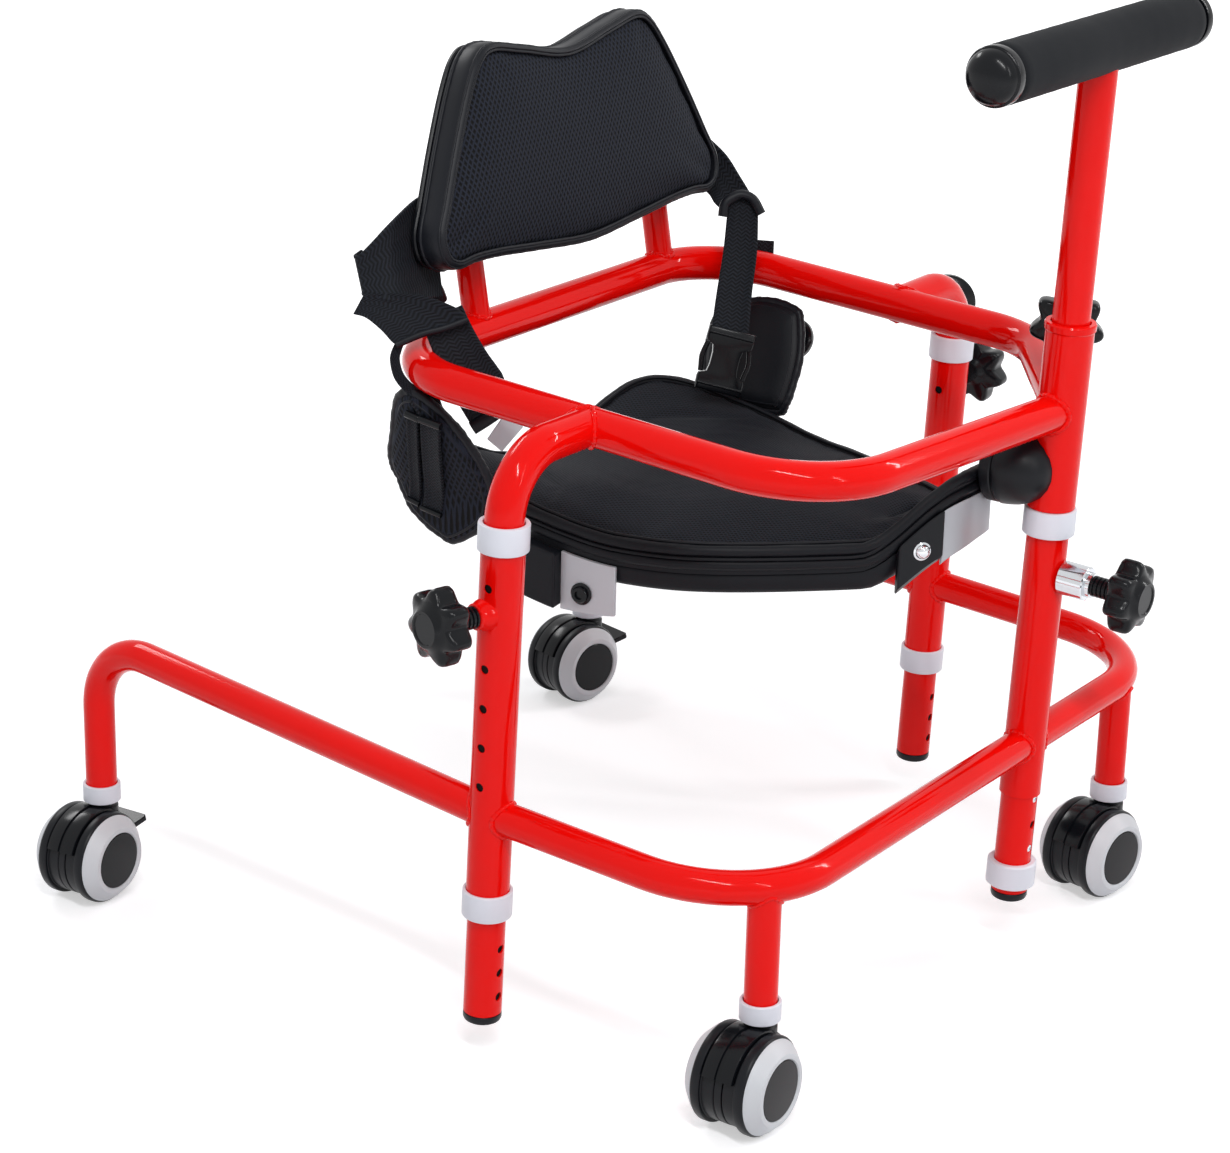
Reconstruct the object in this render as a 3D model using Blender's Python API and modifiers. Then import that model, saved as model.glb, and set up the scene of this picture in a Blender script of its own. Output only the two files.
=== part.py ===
"""Pediatric walker with a saddle seat, a back pad and a push handle.

Metres, +Z up. The child faces -Y; the child's right side is -X. The origin lies
on the floor under the middle of the frame. The base stands on four twin-wheel
castors. The ring frame slides up out of three parallel guide tubes of the base.
"""

import bpy
import bmesh
from math import cos, pi, radians, sin, tan
from mathutils import Matrix, Vector

for stale in list(bpy.data.objects):
    bpy.data.objects.remove(stale, do_unlink=True)

# Clearances
GAP = 0.0003
SEAT_GAP = 0.0004
SLIDE_GAP = 0.0005
CUT_OVER = 0.020
JOIN_SHRINK = 0.0001

# Tubes
BASE_TUBE = 0.022
GUIDE_TUBE = 0.028
INNER_TUBE = 0.025
INNER_BORE = 0.021
SLEEVE_TUBE = 0.032
HANDLE_TUBE = 0.025
BACK_POST_TUBE = 0.019
GUIDE_BORE = INNER_TUBE + 2 * SLIDE_GAP
SIDES = 16

# Lean of the three guide tubes and pitch of the base and ring planes
GUIDE_LEAN = 0.040
FRAME_PITCH = 0.060
GUIDE_MID = 0.1820

# Base frame
FRONT_Y = -0.2545
FRONT_Z = 0.1560
BASE_HALF_WIDTH = 0.270
BASE_CORNER_RADIUS = 0.080
REAR_NEAR = (-0.242, 0.3073)
REAR_FAR = (0.273, 0.2560)
REAR_BEND_RADIUS = 0.048
FRONT_STEM_X = {-1: 0.235, 1: 0.205}
STEM_BOTTOM = 0.0695

# Legs and mast
LEG_X = 0.272
LEG_Y = -0.0600
LEG_TOP = 0.3610
LEG_BOTTOM = 0.1000
LEG_FOOT = 0.0290
MAST_X = 0.067
MAST_TOP = 0.3230
MAST_BOTTOM = 0.1190
MAST_FOOT = 0.0460
SLEEVE_TOP = 0.4520
SLEEVE_BORE_DEPTH = 0.112

# Ring frame
RING_Z = 0.4077
RING_HALF_WIDTH = 0.187
RING_REAR_Y = 0.0965
RING_FRONT_Y = -0.2445
RING_REAR_RADIUS = 0.060
RING_NEAR_CORNER_Y = -0.2385
RING_FAR_CORNER_Y = -0.1760
RING_NEAR_RADIUS = 0.072
RING_FAR_RADIUS = 0.060
RING_END_TRIM = 0.006
LEG_BEND_RADIUS = 0.0415

# Adjusting holes
HOLE = 0.006
LEG_HOLE_TOP = 0.3230
LEG_HOLE_PITCH = 0.0265
LEG_HOLE_ROWS = (0, 2, 3, 4, 5)
FOOT_HOLE_LOW = 0.0420
FOOT_HOLE_PITCH = 0.017
FOOT_HOLES = 3
FOOT_BORE_DEPTH = 0.045

# Collars and feet
COLLAR_WALL = 0.0019
COLLAR_HEIGHT = 0.018
COLLAR_LIP = 0.0022
STEM_COLLAR_HEIGHT = 0.013
CAP_HEIGHT = 0.010
CAP_PLUG = 0.018

# Castors
WHEEL_DIAMETER = 0.065
WHEEL_WIDTH = 0.0248
WHEEL_SLOT = 0.0052
CASTOR_TRAIL = 0.016
AXLE = 0.008
HOOD_START = 18.0
HOOD_END = 160.0
HOOD_WALL = 0.0030
HOOD_GROWTH = 0.0012
HOOD_WIDTH = 0.0085
BRAKE = (0.014, 0.036, 0.004)
NECK = 0.020
CASTOR_YAW = {"front_near": 0.0, "front_far": -10.0, "rear_near": 4.0, "rear_far": -14.0}

# Star knobs
KNOB_DIAMETER = 0.050
KNOB_LOBES = 7
KNOB_DEPTH = 0.020
KNOB_NECK = 0.018
NEAR_KNOB_Z = 0.3050
FAR_KNOB_Z = 0.3250
MAST_KNOB_Z = 0.2790
HANDLE_KNOB_Z = 0.4360
NEAR_KNOB_YAW = 165.0
FAR_KNOB_YAW = 4.0
MAST_KNOB_YAW = -90.0
HANDLE_KNOB_YAW = 29.0
BEND_KNOB_YAW = 40.0
BOSS_REACH = 0.0205
NUT_REACH = 0.0376
FAR_NUT_REACH = 0.0217
MUSHROOM_DIAMETER = 0.044

# Handle
GRIP_Z = 0.6320
GRIP_LENGTH = 0.245
GRIP_DIAMETER = 0.038
GRIP_BAR = 0.022
GRIP_CENTRE_X = 0.058
GRIP_CAP_LENGTH = 0.018
HANDLE_INSERT = 0.085

# Back rest
BACK_X = 0.022
BACK_POST_HALF = 0.108
BACK_LEAN = 10.0
BACK_POST_LENGTH = 0.135
BACK_BOTTOM = 0.0435
BACK_HALF_WIDTH = 0.161
BACK_HEIGHT = 0.147
BACK_PAD = 0.023
BACK_PAD_SHIFT = -0.021
BACK_SHELL = 0.005
SOCKET_WALL = 0.0026
SOCKET_LENGTH = 0.060

# Seat
SEAT_X = 0.002
SEAT_FRONT_Y = -0.2245
SEAT_LENGTH = 0.340
SEAT_Y = SEAT_FRONT_Y + SEAT_LENGTH / 2
SEAT_Z = 0.3120
SEAT_HALF_WIDTH = 0.140
SEAT_SIDE_LENGTH = 0.063
SEAT_REAR_LENGTH = 0.072
SEAT_PAD = 0.020
SEAT_TRAY = 0.014
SEAT_RISE = 0.045
SEAT_REAR_SIDE_RISE = 0.016
SEAT_CORNER_RISE = 0.015
SEAT_REAR_DIP = 0.005
SEAT_CORNER_START = 0.085
SEAT_CORNER_RUN = 0.070
SEAT_NOSE_START = 0.127
SEAT_NOSE_RUN = 0.048
SEAT_REAR_RUN = 0.120
PIPING = 0.0032
WING_THICKNESS = 0.014
WING_STAND = {-1: 0.0155, 1: 0.0080}
WING_TOP_INSET = 0.004
WING_BOTTOM_Z = 0.3250
WING_TOP_Z = 0.3925
WING_Y = {-1: 0.070, 1: 0.037}
POMMEL_X = 0.054
POMMEL_Z = 0.3520
POMMEL_RADIUS = 0.026
POMMEL_BAND = 0.010
EDGE_PLATE = 0.003
PLATE_DROP = 0.0008
BRACKET = 0.006
SIDE_BLOCK = 0.011
BOLT_HEAD = 0.0062
PLATE_JOINT = 0.0005
NOSE_PLATE_START = -0.016
NOSE_PLATE_LENGTH = 0.052
FRONT_BRACKET_LENGTH = 0.0315
SIDE_BRACKET_START = 0.254
SIDE_BRACKET_LENGTH = 0.040
SIDE_BLOCK_LENGTH = 0.0255
WING_KNOB_Z = 0.3700
WING_KNOB_DIAMETER = 0.031

# Webbing
NEAR_STRAP_WIDTH = 0.0272
FAR_STRAP_WIDTH = 0.0256
TONGUE_WIDTH = 0.0256
TONGUE_LENGTH = 0.024
STRAP_THICKNESS = 0.0024
STRAP_INSIDE = 0.043
BUCKLE_WIDTH = 0.036
BUCKLE_HEIGHT = 0.048
BUCKLE_DEPTH = 0.008
BUCKLE_X = 0.1341
BUCKLE_Y = 0.0435
BUCKLE_Z = 0.3610

GUIDE_AXIS = Vector((0.0, -GUIDE_LEAN, 1.0)).normalized()

model = bpy.data.collections.new("pediatric_walker")
cutters = bpy.data.collections.new("cutters")
bpy.context.scene.collection.children.link(model)
bpy.context.scene.collection.children.link(cutters)


def finish(name, colour, roughness, metallic=0.0):
    """A Principled material from an sRGB colour of three bytes."""
    material = bpy.data.materials.new(name)
    material.use_nodes = True
    linear = [((c / 255 + 0.055) / 1.055) ** 2.4 if c > 10 else c / 255 / 12.92 for c in colour]
    shader = material.node_tree.nodes["Principled BSDF"]
    shader.inputs["Base Color"].default_value = (*linear, 1.0)
    shader.inputs["Roughness"].default_value = roughness
    shader.inputs["Metallic"].default_value = metallic
    material.diffuse_color = (*linear, 1.0)
    return material


RED = ("red_powder_coat", (236, 22, 14), 0.25)
WHITE = ("white_nylon", (232, 234, 242), 0.45)
BLACK = ("black_nylon", (24, 25, 28), 0.40)
CLOTH = ("black_mesh_fabric", (23, 25, 30), 0.90)
LEATHER = ("black_vinyl", (30, 31, 36), 0.55)
FOAM = ("black_foam", (28, 29, 32), 0.85)
GREY = ("grey_painted_steel", (168, 171, 176), 0.40, 0.3)
CHROME = ("chromed_steel", (205, 208, 212), 0.15, 1.0)
RUBBER = ("grey_rubber", (196, 200, 206), 0.60)


def add_mesh(name, bm, look=None, collection=model, origin=None, smooth_angle=35.0):
    """Makes an object of a bmesh, with its origin moved to a point in the world."""
    bmesh.ops.recalc_face_normals(bm, faces=bm.faces)
    if bm.calc_volume(signed=True) < 0:
        bmesh.ops.reverse_faces(bm, faces=bm.faces)
    mesh = bpy.data.meshes.new(name)
    if origin is not None:
        bmesh.ops.translate(bm, vec=-Vector(origin), verts=bm.verts)
    bm.to_mesh(mesh)
    bm.free()
    mesh.shade_smooth()
    mesh.set_sharp_from_angle(angle=radians(smooth_angle))
    obj = bpy.data.objects.new(name, mesh)
    if origin is not None:
        obj.location = origin
    if look is not None:
        mesh.materials.append(finish(f"{name}_{look[0]}", *look[1:]))
    collection.objects.link(obj)
    return obj


def as_cutter(obj):
    """Moves an object to the cutters, where it is only a guide."""
    for holder in list(obj.users_collection):
        holder.objects.unlink(obj)
    cutters.objects.link(obj)
    obj.hide_render = True
    obj.display_type = "WIRE"
    return obj


def boolean(target, tool, operation):
    """Cuts or joins one object with another by an exact Boolean modifier."""
    as_cutter(tool)
    modifier = target.modifiers.new(tool.name, "BOOLEAN")
    modifier.operation = operation
    modifier.solver = "EXACT"
    modifier.object = tool
    return target


def frame_at(point, axis, towards=(1.0, 0.0, 0.0)):
    """A matrix whose local Z runs along an axis and whose local X leans to a vector."""
    z = Vector(axis).normalized()
    x = Vector(towards) - z * Vector(towards).dot(z)
    if x.length < 1e-6:
        x = Vector((0.0, 1.0, 0.0)) - z * z.y
    x.normalize()
    y = z.cross(x)
    matrix = Matrix((x, y, z)).transposed().to_4x4()
    matrix.translation = Vector(point)
    return matrix


def leg_point(side, z):
    """A point on a leg's axis at height z; side is -1 near and 1 far."""
    return Vector((side * LEG_X, LEG_Y - GUIDE_LEAN * (z - GUIDE_MID), z))


def mast_point(z):
    """A point on the mast's axis at height z."""
    return Vector((MAST_X, FRONT_Y - GUIDE_LEAN * (z - FRONT_Z), z))


def base_z(y):
    """Height of the base tube's centre line at a place along Y."""
    return FRONT_Z + FRAME_PITCH * (y - FRONT_Y)


def ring_z(y):
    """Height of the ring tube's centre line at a place along Y."""
    return RING_Z + FRAME_PITCH * y


def rod(name, start, end, radius, look=None, collection=model, sides=SIDES, origin=None):
    """A solid cylinder between two points."""
    start, end = Vector(start), Vector(end)
    bm = bmesh.new()
    bmesh.ops.create_cone(bm, cap_ends=True, segments=sides, radius1=radius, radius2=radius,
                          depth=(end - start).length)
    bm.transform(frame_at((start + end) / 2, end - start))
    return add_mesh(name, bm, look, collection, origin)


def turned(name, profile, matrix, look=None, sides=SIDES, collection=model):
    """Turns a closed profile of (radius, height) round local Z with a Screw modifier.

    A profile that starts and ends on the axis is a solid; any other is a ring.
    """
    after = profile[1:] + profile[:1]
    area = sum(r0 * h1 - r1 * h0 for (r0, h0), (r1, h1) in zip(profile, after))
    if area > 0:
        profile = profile[::-1]
    edges = [(i, i + 1) for i in range(len(profile) - 1)]
    if profile[0][0] > 0.0:
        edges.append((len(profile) - 1, 0))
    mesh = bpy.data.meshes.new(name)
    mesh.from_pydata([(radius, 0.0, height) for radius, height in profile], edges, [])
    obj = bpy.data.objects.new(name, mesh)
    obj.matrix_world = matrix
    if look is not None:
        mesh.materials.append(finish(f"{name}_{look[0]}", *look[1:]))
    collection.objects.link(obj)
    screw = obj.modifiers.new("turn", "SCREW")
    screw.axis = "Z"
    screw.steps = sides
    screw.render_steps = sides
    screw.use_merge_vertices = True
    screw.merge_threshold = 1e-5
    screw.use_smooth_shade = False
    return obj


def is_warped(face):
    """Tells whether a four-sided face is out of flat by more than a hundredth of a millimetre."""
    a, b, c, d = (vert.co for vert in face.verts)
    normal = (b - a).cross(c - a)
    return normal.length > 0 and abs((d - a).dot(normal.normalized())) > 1e-5


def loft(name, rings, look=None, collection=model, origin=None, smooth_angle=50.0):
    """Skins a row of rings with equal counts; a ring of one point closes an end."""
    bm = bmesh.new()
    rows = [[bm.verts.new(p) for p in ring] for ring in rings]
    count = max(len(row) for row in rows)
    for lower, upper in zip(rows, rows[1:]):
        for i in range(count):
            j = (i + 1) % count
            corners = [row[k % len(row)] for row, k in ((lower, i), (lower, j), (upper, j), (upper, i))]
            bm.faces.new(list(dict.fromkeys(corners)))
    warped = [face for face in bm.faces if len(face.verts) == 4 and is_warped(face)]
    bmesh.ops.triangulate(bm, faces=warped, quad_method="SHORT_EDGE")
    for row in (rows[0], rows[-1]):
        if len(row) > 1:
            bm.faces.new(row)
    return add_mesh(name, bm, look, collection, origin, smooth_angle)


def fillet(corners, radii, steps=6):
    """Rounds the inner corners of a polyline by arcs."""
    points = [Vector(corners[0])]
    for before, corner, after, radius in zip(corners, corners[1:], corners[2:], radii):
        before, corner, after = Vector(before), Vector(corner), Vector(after)
        u = (before - corner).normalized()
        v = (after - corner).normalized()
        half = u.angle(v) / 2
        centre = corner + (u + v).normalized() * radius / sin(half)
        first = corner + u * radius / tan(half) - centre
        last = corner + v * radius / tan(half) - centre
        sweep = pi - 2 * half
        for i in range(steps + 1):
            t = i / steps
            mix = first * sin((1 - t) * sweep) + last * sin(t * sweep)
            points.append(centre + mix / sin(sweep))
    points.append(Vector(corners[-1]))
    return points


def mesh_of_curve(name, curve, matrix, look, collection):
    """An object from a curve's solid, with the caps welded to its sides."""
    source = bpy.data.objects.new(f"{name}_path", curve)
    cutters.objects.link(source)
    bpy.context.view_layer.update()
    mesh = bpy.data.meshes.new_from_object(source.evaluated_get(bpy.context.evaluated_depsgraph_get()))
    bm = bmesh.new()
    bm.from_mesh(mesh)
    bmesh.ops.remove_doubles(bm, verts=bm.verts, dist=1e-6)
    bm.transform(matrix)
    bpy.data.objects.remove(source, do_unlink=True)
    bpy.data.meshes.remove(mesh)
    return add_mesh(name, bm, look, collection)


def bent_tube(name, points, radius, resolution=4, look=None, collection=cutters):
    """A solid tube along a polyline, made from a bevelled curve with filled caps."""
    curve = bpy.data.curves.new(name, "CURVE")
    curve.dimensions = "3D"
    curve.bevel_depth = radius
    curve.bevel_resolution = resolution
    curve.use_fill_caps = True
    spline = curve.splines.new("POLY")
    spline.points.add(len(points) - 1)
    for knot, point in zip(spline.points, points):
        knot.co = (*point, 1.0)
    return mesh_of_curve(name, curve, Matrix.Identity(4), look, collection)


def plate(name, outline, matrix, thickness, look):
    """A flat plate of local (x, y) points, pushed out along local Z from its placing."""
    curve = bpy.data.curves.new(name, "CURVE")
    curve.dimensions = "2D"
    curve.fill_mode = "BOTH"
    curve.extrude = thickness / 2
    spline = curve.splines.new("POLY")
    spline.points.add(len(outline) - 1)
    spline.use_cyclic_u = True
    for knot, (x, y) in zip(spline.points, outline):
        knot.co = (x, y, 0.0, 1.0)
    lift = Matrix.Translation((0.0, 0.0, thickness / 2))
    return mesh_of_curve(name, curve, matrix @ lift, look, model)


def closed_curve(knots, per_span=6):
    """Points of a smooth closed curve through knots (a cardinal spline)."""
    points = []
    count = len(knots)
    for i in range(count):
        a, b, c, d = (Vector(knots[(i + k - 1) % count]) for k in range(4))
        for step in range(per_span):
            t = step / per_span
            points.append(0.5 * (2 * b + (c - a) * t + (2 * a - 5 * b + 4 * c - d) * t ** 2
                                 + (3 * b - a - 3 * c + d) * t ** 3))
    return points


def open_curve(knots, per_span=6):
    """Points of a smooth open curve through knots."""
    knots = [Vector(knot) for knot in knots]
    ends = [2 * knots[0] - knots[1], *knots, 2 * knots[-1] - knots[-2]]
    points = []
    for a, b, c, d in zip(ends, ends[1:], ends[2:], ends[3:]):
        for step in range(per_span):
            t = step / per_span
            points.append(0.5 * (2 * b + (c - a) * t + (2 * a - 5 * b + 4 * c - d) * t ** 2
                                 + (3 * b - a - 3 * c + d) * t ** 3))
    points.append(knots[-1])
    return points


def smooth_step(value):
    """Rises from 0 to 1 without a kink."""
    t = min(1.0, max(0.0, value))
    return t * t * (3 - 2 * t)


def side_name(side):
    """The name of a side: near is the child's right."""
    return "near" if side < 0 else "far"


def front_stem(side):
    """The floor plan place of a front castor's stem, under the corner arc of the base bar."""
    x = FRONT_STEM_X[side]
    along = max(0.0, x - BASE_HALF_WIDTH + BASE_CORNER_RADIUS)
    return side * x, FRONT_Y + BASE_CORNER_RADIUS - (BASE_CORNER_RADIUS ** 2 - along ** 2) ** 0.5


def base_frame():
    """The welded base: a bent U tube, four castor stems and three guide tubes."""
    def arm(side, rear):
        leg = leg_point(side, base_z(LEG_Y))
        end = Vector((rear[0], rear[1], base_z(rear[1])))
        return leg, end

    near_leg, near_end = arm(-1, REAR_NEAR)
    far_leg, far_end = arm(1, REAR_FAR)
    corners = [
        (near_end.x, near_end.y, STEM_BOTTOM),
        near_end,
        near_leg,
        (-BASE_HALF_WIDTH, FRONT_Y, FRONT_Z),
        (BASE_HALF_WIDTH, FRONT_Y, FRONT_Z),
        far_leg,
        far_end,
        (far_end.x, far_end.y, STEM_BOTTOM),
    ]
    radii = [REAR_BEND_RADIUS, 0.30, BASE_CORNER_RADIUS, BASE_CORNER_RADIUS, 0.30, REAR_BEND_RADIUS]
    frame = bent_tube("base_frame", fillet(corners, radii), BASE_TUBE / 2, look=RED, collection=model)
    for side in (-1, 1):
        x, y = front_stem(side)
        low, high = (x, y, STEM_BOTTOM), (x, y, base_z(y))
        stem = rod(f"stem_{side_name(side)}", low, high, BASE_TUBE / 2 - GAP, sides=20)
        boolean(frame, stem, "UNION")
        low, high = leg_point(side, LEG_BOTTOM), leg_point(side, LEG_TOP)
        guide = rod(f"leg_guide_{side_name(side)}", low, high, GUIDE_TUBE / 2)
        boolean(frame, guide, "UNION")
    boss = knob_boss("near_knob_boss", leg_point(-1, NEAR_KNOB_Z), NEAR_KNOB_YAW, BOSS_REACH)
    boolean(frame, boss, "UNION")
    boolean(frame, rod("mast_guide", mast_point(MAST_BOTTOM), mast_point(MAST_TOP), GUIDE_TUBE / 2), "UNION")
    low, high = mast_point(MAST_BOTTOM - CUT_OVER), mast_point(MAST_TOP + CUT_OVER)
    boolean(frame, rod("mast_bore", low, high, GUIDE_BORE / 2), "DIFFERENCE")
    reach = Vector((GUIDE_TUBE, 0.0, 0.0))
    for side in (-1, 1):
        label = side_name(side)
        low, high = leg_point(side, LEG_BOTTOM - CUT_OVER), leg_point(side, LEG_TOP + CUT_OVER)
        boolean(frame, rod(f"leg_bore_{label}", low, high, GUIDE_BORE / 2), "DIFFERENCE")
        for row in LEG_HOLE_ROWS:
            centre = leg_point(side, LEG_HOLE_TOP - row * LEG_HOLE_PITCH)
            hole = rod(f"leg_hole_{label}_{row}", centre - reach, centre, HOLE / 2, sides=8)
            boolean(frame, hole, "DIFFERENCE")
    return frame


def bend_point():
    """The place on the far leg tube's bend that carries the round knob."""
    return leg_point(1, ring_z(LEG_Y)) - Vector((LEG_BEND_RADIUS * 0.06, 0.0, LEG_BEND_RADIUS * 0.66))


def ring_path():
    """The ring tube's centre line, from the sleeve round the seat and back to it."""
    join = mast_point(ring_z(RING_FRONT_Y))
    plan = [
        (join.x, join.y),
        (-RING_HALF_WIDTH, RING_NEAR_CORNER_Y),
        (-RING_HALF_WIDTH, RING_REAR_Y),
        (RING_HALF_WIDTH, RING_REAR_Y),
        (RING_HALF_WIDTH, RING_FAR_CORNER_Y),
        (join.x, join.y),
    ]
    radii = [RING_NEAR_RADIUS, RING_REAR_RADIUS, RING_REAR_RADIUS, RING_FAR_RADIUS]
    flat = fillet([(x, y, 0.0) for x, y in plan], radii)
    flat[0] += (flat[1] - flat[0]).normalized() * RING_END_TRIM
    flat[-1] += (flat[-2] - flat[-1]).normalized() * RING_END_TRIM
    return [Vector((p.x, p.y, ring_z(p.y))) for p in flat]


def back_frame():
    """The back rest's frame: local X across, local Z up along its posts."""
    lean = radians(BACK_LEAN)
    foot = Vector((BACK_X, RING_REAR_Y, ring_z(RING_REAR_Y)))
    return frame_at(foot, (0.0, sin(lean), cos(lean)))


def ring_frame():
    """The welded ring: seat ring, two leg tubes, sleeve, inner mast tube and back posts."""
    sleeve_foot = mast_point(MAST_TOP + COLLAR_LIP + GAP)
    frame = rod("ring_frame", sleeve_foot, mast_point(SLEEVE_TOP), SLEEVE_TUBE / 2, RED)
    boolean(frame, bent_tube("ring_tube", ring_path(), INNER_TUBE / 2 - JOIN_SHRINK), "UNION")
    inner = rod("mast_inner", mast_point(MAST_FOOT), mast_point(MAST_TOP + CUT_OVER), INNER_TUBE / 2)
    boolean(frame, inner, "UNION")
    for side in (-1, 1):
        top = leg_point(side, ring_z(LEG_Y))
        inward = Vector((side * (RING_HALF_WIDTH - INNER_TUBE / 6), top.y, ring_z(top.y)))
        path = fillet([leg_point(side, LEG_FOOT), top, inward], [LEG_BEND_RADIUS])
        leg = bent_tube(f"leg_inner_{side_name(side)}", path, INNER_TUBE / 2)
        boolean(frame, leg, "UNION")
    back = back_frame()
    for side in (-1, 1):
        foot = back @ Vector((side * BACK_POST_HALF, 0.0, 0.0))
        head = back @ Vector((side * BACK_POST_HALF, 0.0, BACK_POST_LENGTH))
        boolean(frame, rod(f"back_post_{side_name(side)}", foot, head, BACK_POST_TUBE / 2, sides=20), "UNION")
    bosses = (("handle", mast_point(HANDLE_KNOB_Z), HANDLE_KNOB_YAW), ("bend", bend_point(), BEND_KNOB_YAW))
    for label, point, yaw in bosses:
        boolean(frame, knob_boss(f"{label}_knob_boss", point, yaw, BOSS_REACH), "UNION")
    low, high = mast_point(SLEEVE_TOP - SLEEVE_BORE_DEPTH), mast_point(SLEEVE_TOP + CUT_OVER)
    boolean(frame, rod("sleeve_bore", low, high, HANDLE_TUBE / 2 + SLIDE_GAP), "DIFFERENCE")
    feet = [("mast", mast_point, MAST_FOOT)]
    feet += [(side_name(s), lambda z, s=s: leg_point(s, z), LEG_FOOT) for s in (-1, 1)]
    reach = Vector((0.0, GUIDE_TUBE, 0.0))
    for label, place, foot_z in feet:
        low, high = place(foot_z - CUT_OVER), place(foot_z + FOOT_BORE_DEPTH)
        boolean(frame, rod(f"foot_bore_{label}", low, high, INNER_BORE / 2), "DIFFERENCE")
        for row in range(FOOT_HOLES):
            centre = place(foot_z - LEG_FOOT + FOOT_HOLE_LOW + row * FOOT_HOLE_PITCH)
            hole = rod(f"foot_hole_{label}_{row}", centre - reach, centre, HOLE / 2, sides=8)
            boolean(frame, hole, "DIFFERENCE")
    return frame


def guide_collars():
    """White end bushes of the guide tubes, each with a lip over the tube's end."""
    outer = GUIDE_TUBE / 2 + GAP + COLLAR_WALL
    profile = [
        (GUIDE_TUBE / 2 + GAP, -COLLAR_HEIGHT + COLLAR_LIP),
        (outer, -COLLAR_HEIGHT + COLLAR_LIP),
        (outer, COLLAR_LIP),
        (GUIDE_BORE / 2, COLLAR_LIP),
        (GUIDE_BORE / 2, GAP),
        (GUIDE_TUBE / 2 + GAP, GAP),
    ]
    for side in (-1, 1):
        label = side_name(side)
        turned(f"leg_top_collar_{label}", profile, frame_at(leg_point(side, LEG_TOP), GUIDE_AXIS), WHITE)
        turned(f"leg_low_collar_{label}", profile, frame_at(leg_point(side, LEG_BOTTOM), -GUIDE_AXIS), WHITE)
    wide = [(r + 0.0012 if r > GUIDE_TUBE / 2 + GAP else r, h) for r, h in profile]
    turned("mast_top_collar", wide, frame_at(mast_point(MAST_TOP), GUIDE_AXIS), WHITE)
    stop = outer + 0.0006
    base = MAST_FOOT + CAP_HEIGHT * 0.45
    ring = [
        (INNER_TUBE / 2 + GAP, 0.0),
        (stop, 0.0),
        (stop, COLLAR_HEIGHT),
        (INNER_TUBE / 2 + GAP, COLLAR_HEIGHT),
    ]
    turned("mast_stop_collar", ring, frame_at(mast_point(base), GUIDE_AXIS), WHITE)


def foot_caps():
    """Black plugs in the lower ends of the three inner tubes."""
    plug = INNER_BORE / 2 - GAP
    rim = INNER_TUBE / 2
    profile = [
        (0.0, CAP_PLUG),
        (plug, CAP_PLUG),
        (plug, -GAP),
        (rim, -GAP),
        (rim, -0.004),
        (rim - 0.0018, -0.006),
        (0.0, -0.006),
    ]
    for side in (-1, 1):
        turned(f"foot_cap_{side_name(side)}", profile, frame_at(leg_point(side, LEG_FOOT), GUIDE_AXIS), BLACK)
    turned("foot_cap_mast", profile, frame_at(mast_point(MAST_FOOT), GUIDE_AXIS), BLACK)


def castor_places():
    """Each castor's name, stem place on the floor plan and yaw in degrees."""
    places = {
        "front_near": front_stem(-1),
        "front_far": front_stem(1),
        "rear_near": REAR_NEAR,
        "rear_far": REAR_FAR,
    }
    return [(name, x, y, CASTOR_YAW[name]) for name, (x, y) in places.items()]


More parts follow.
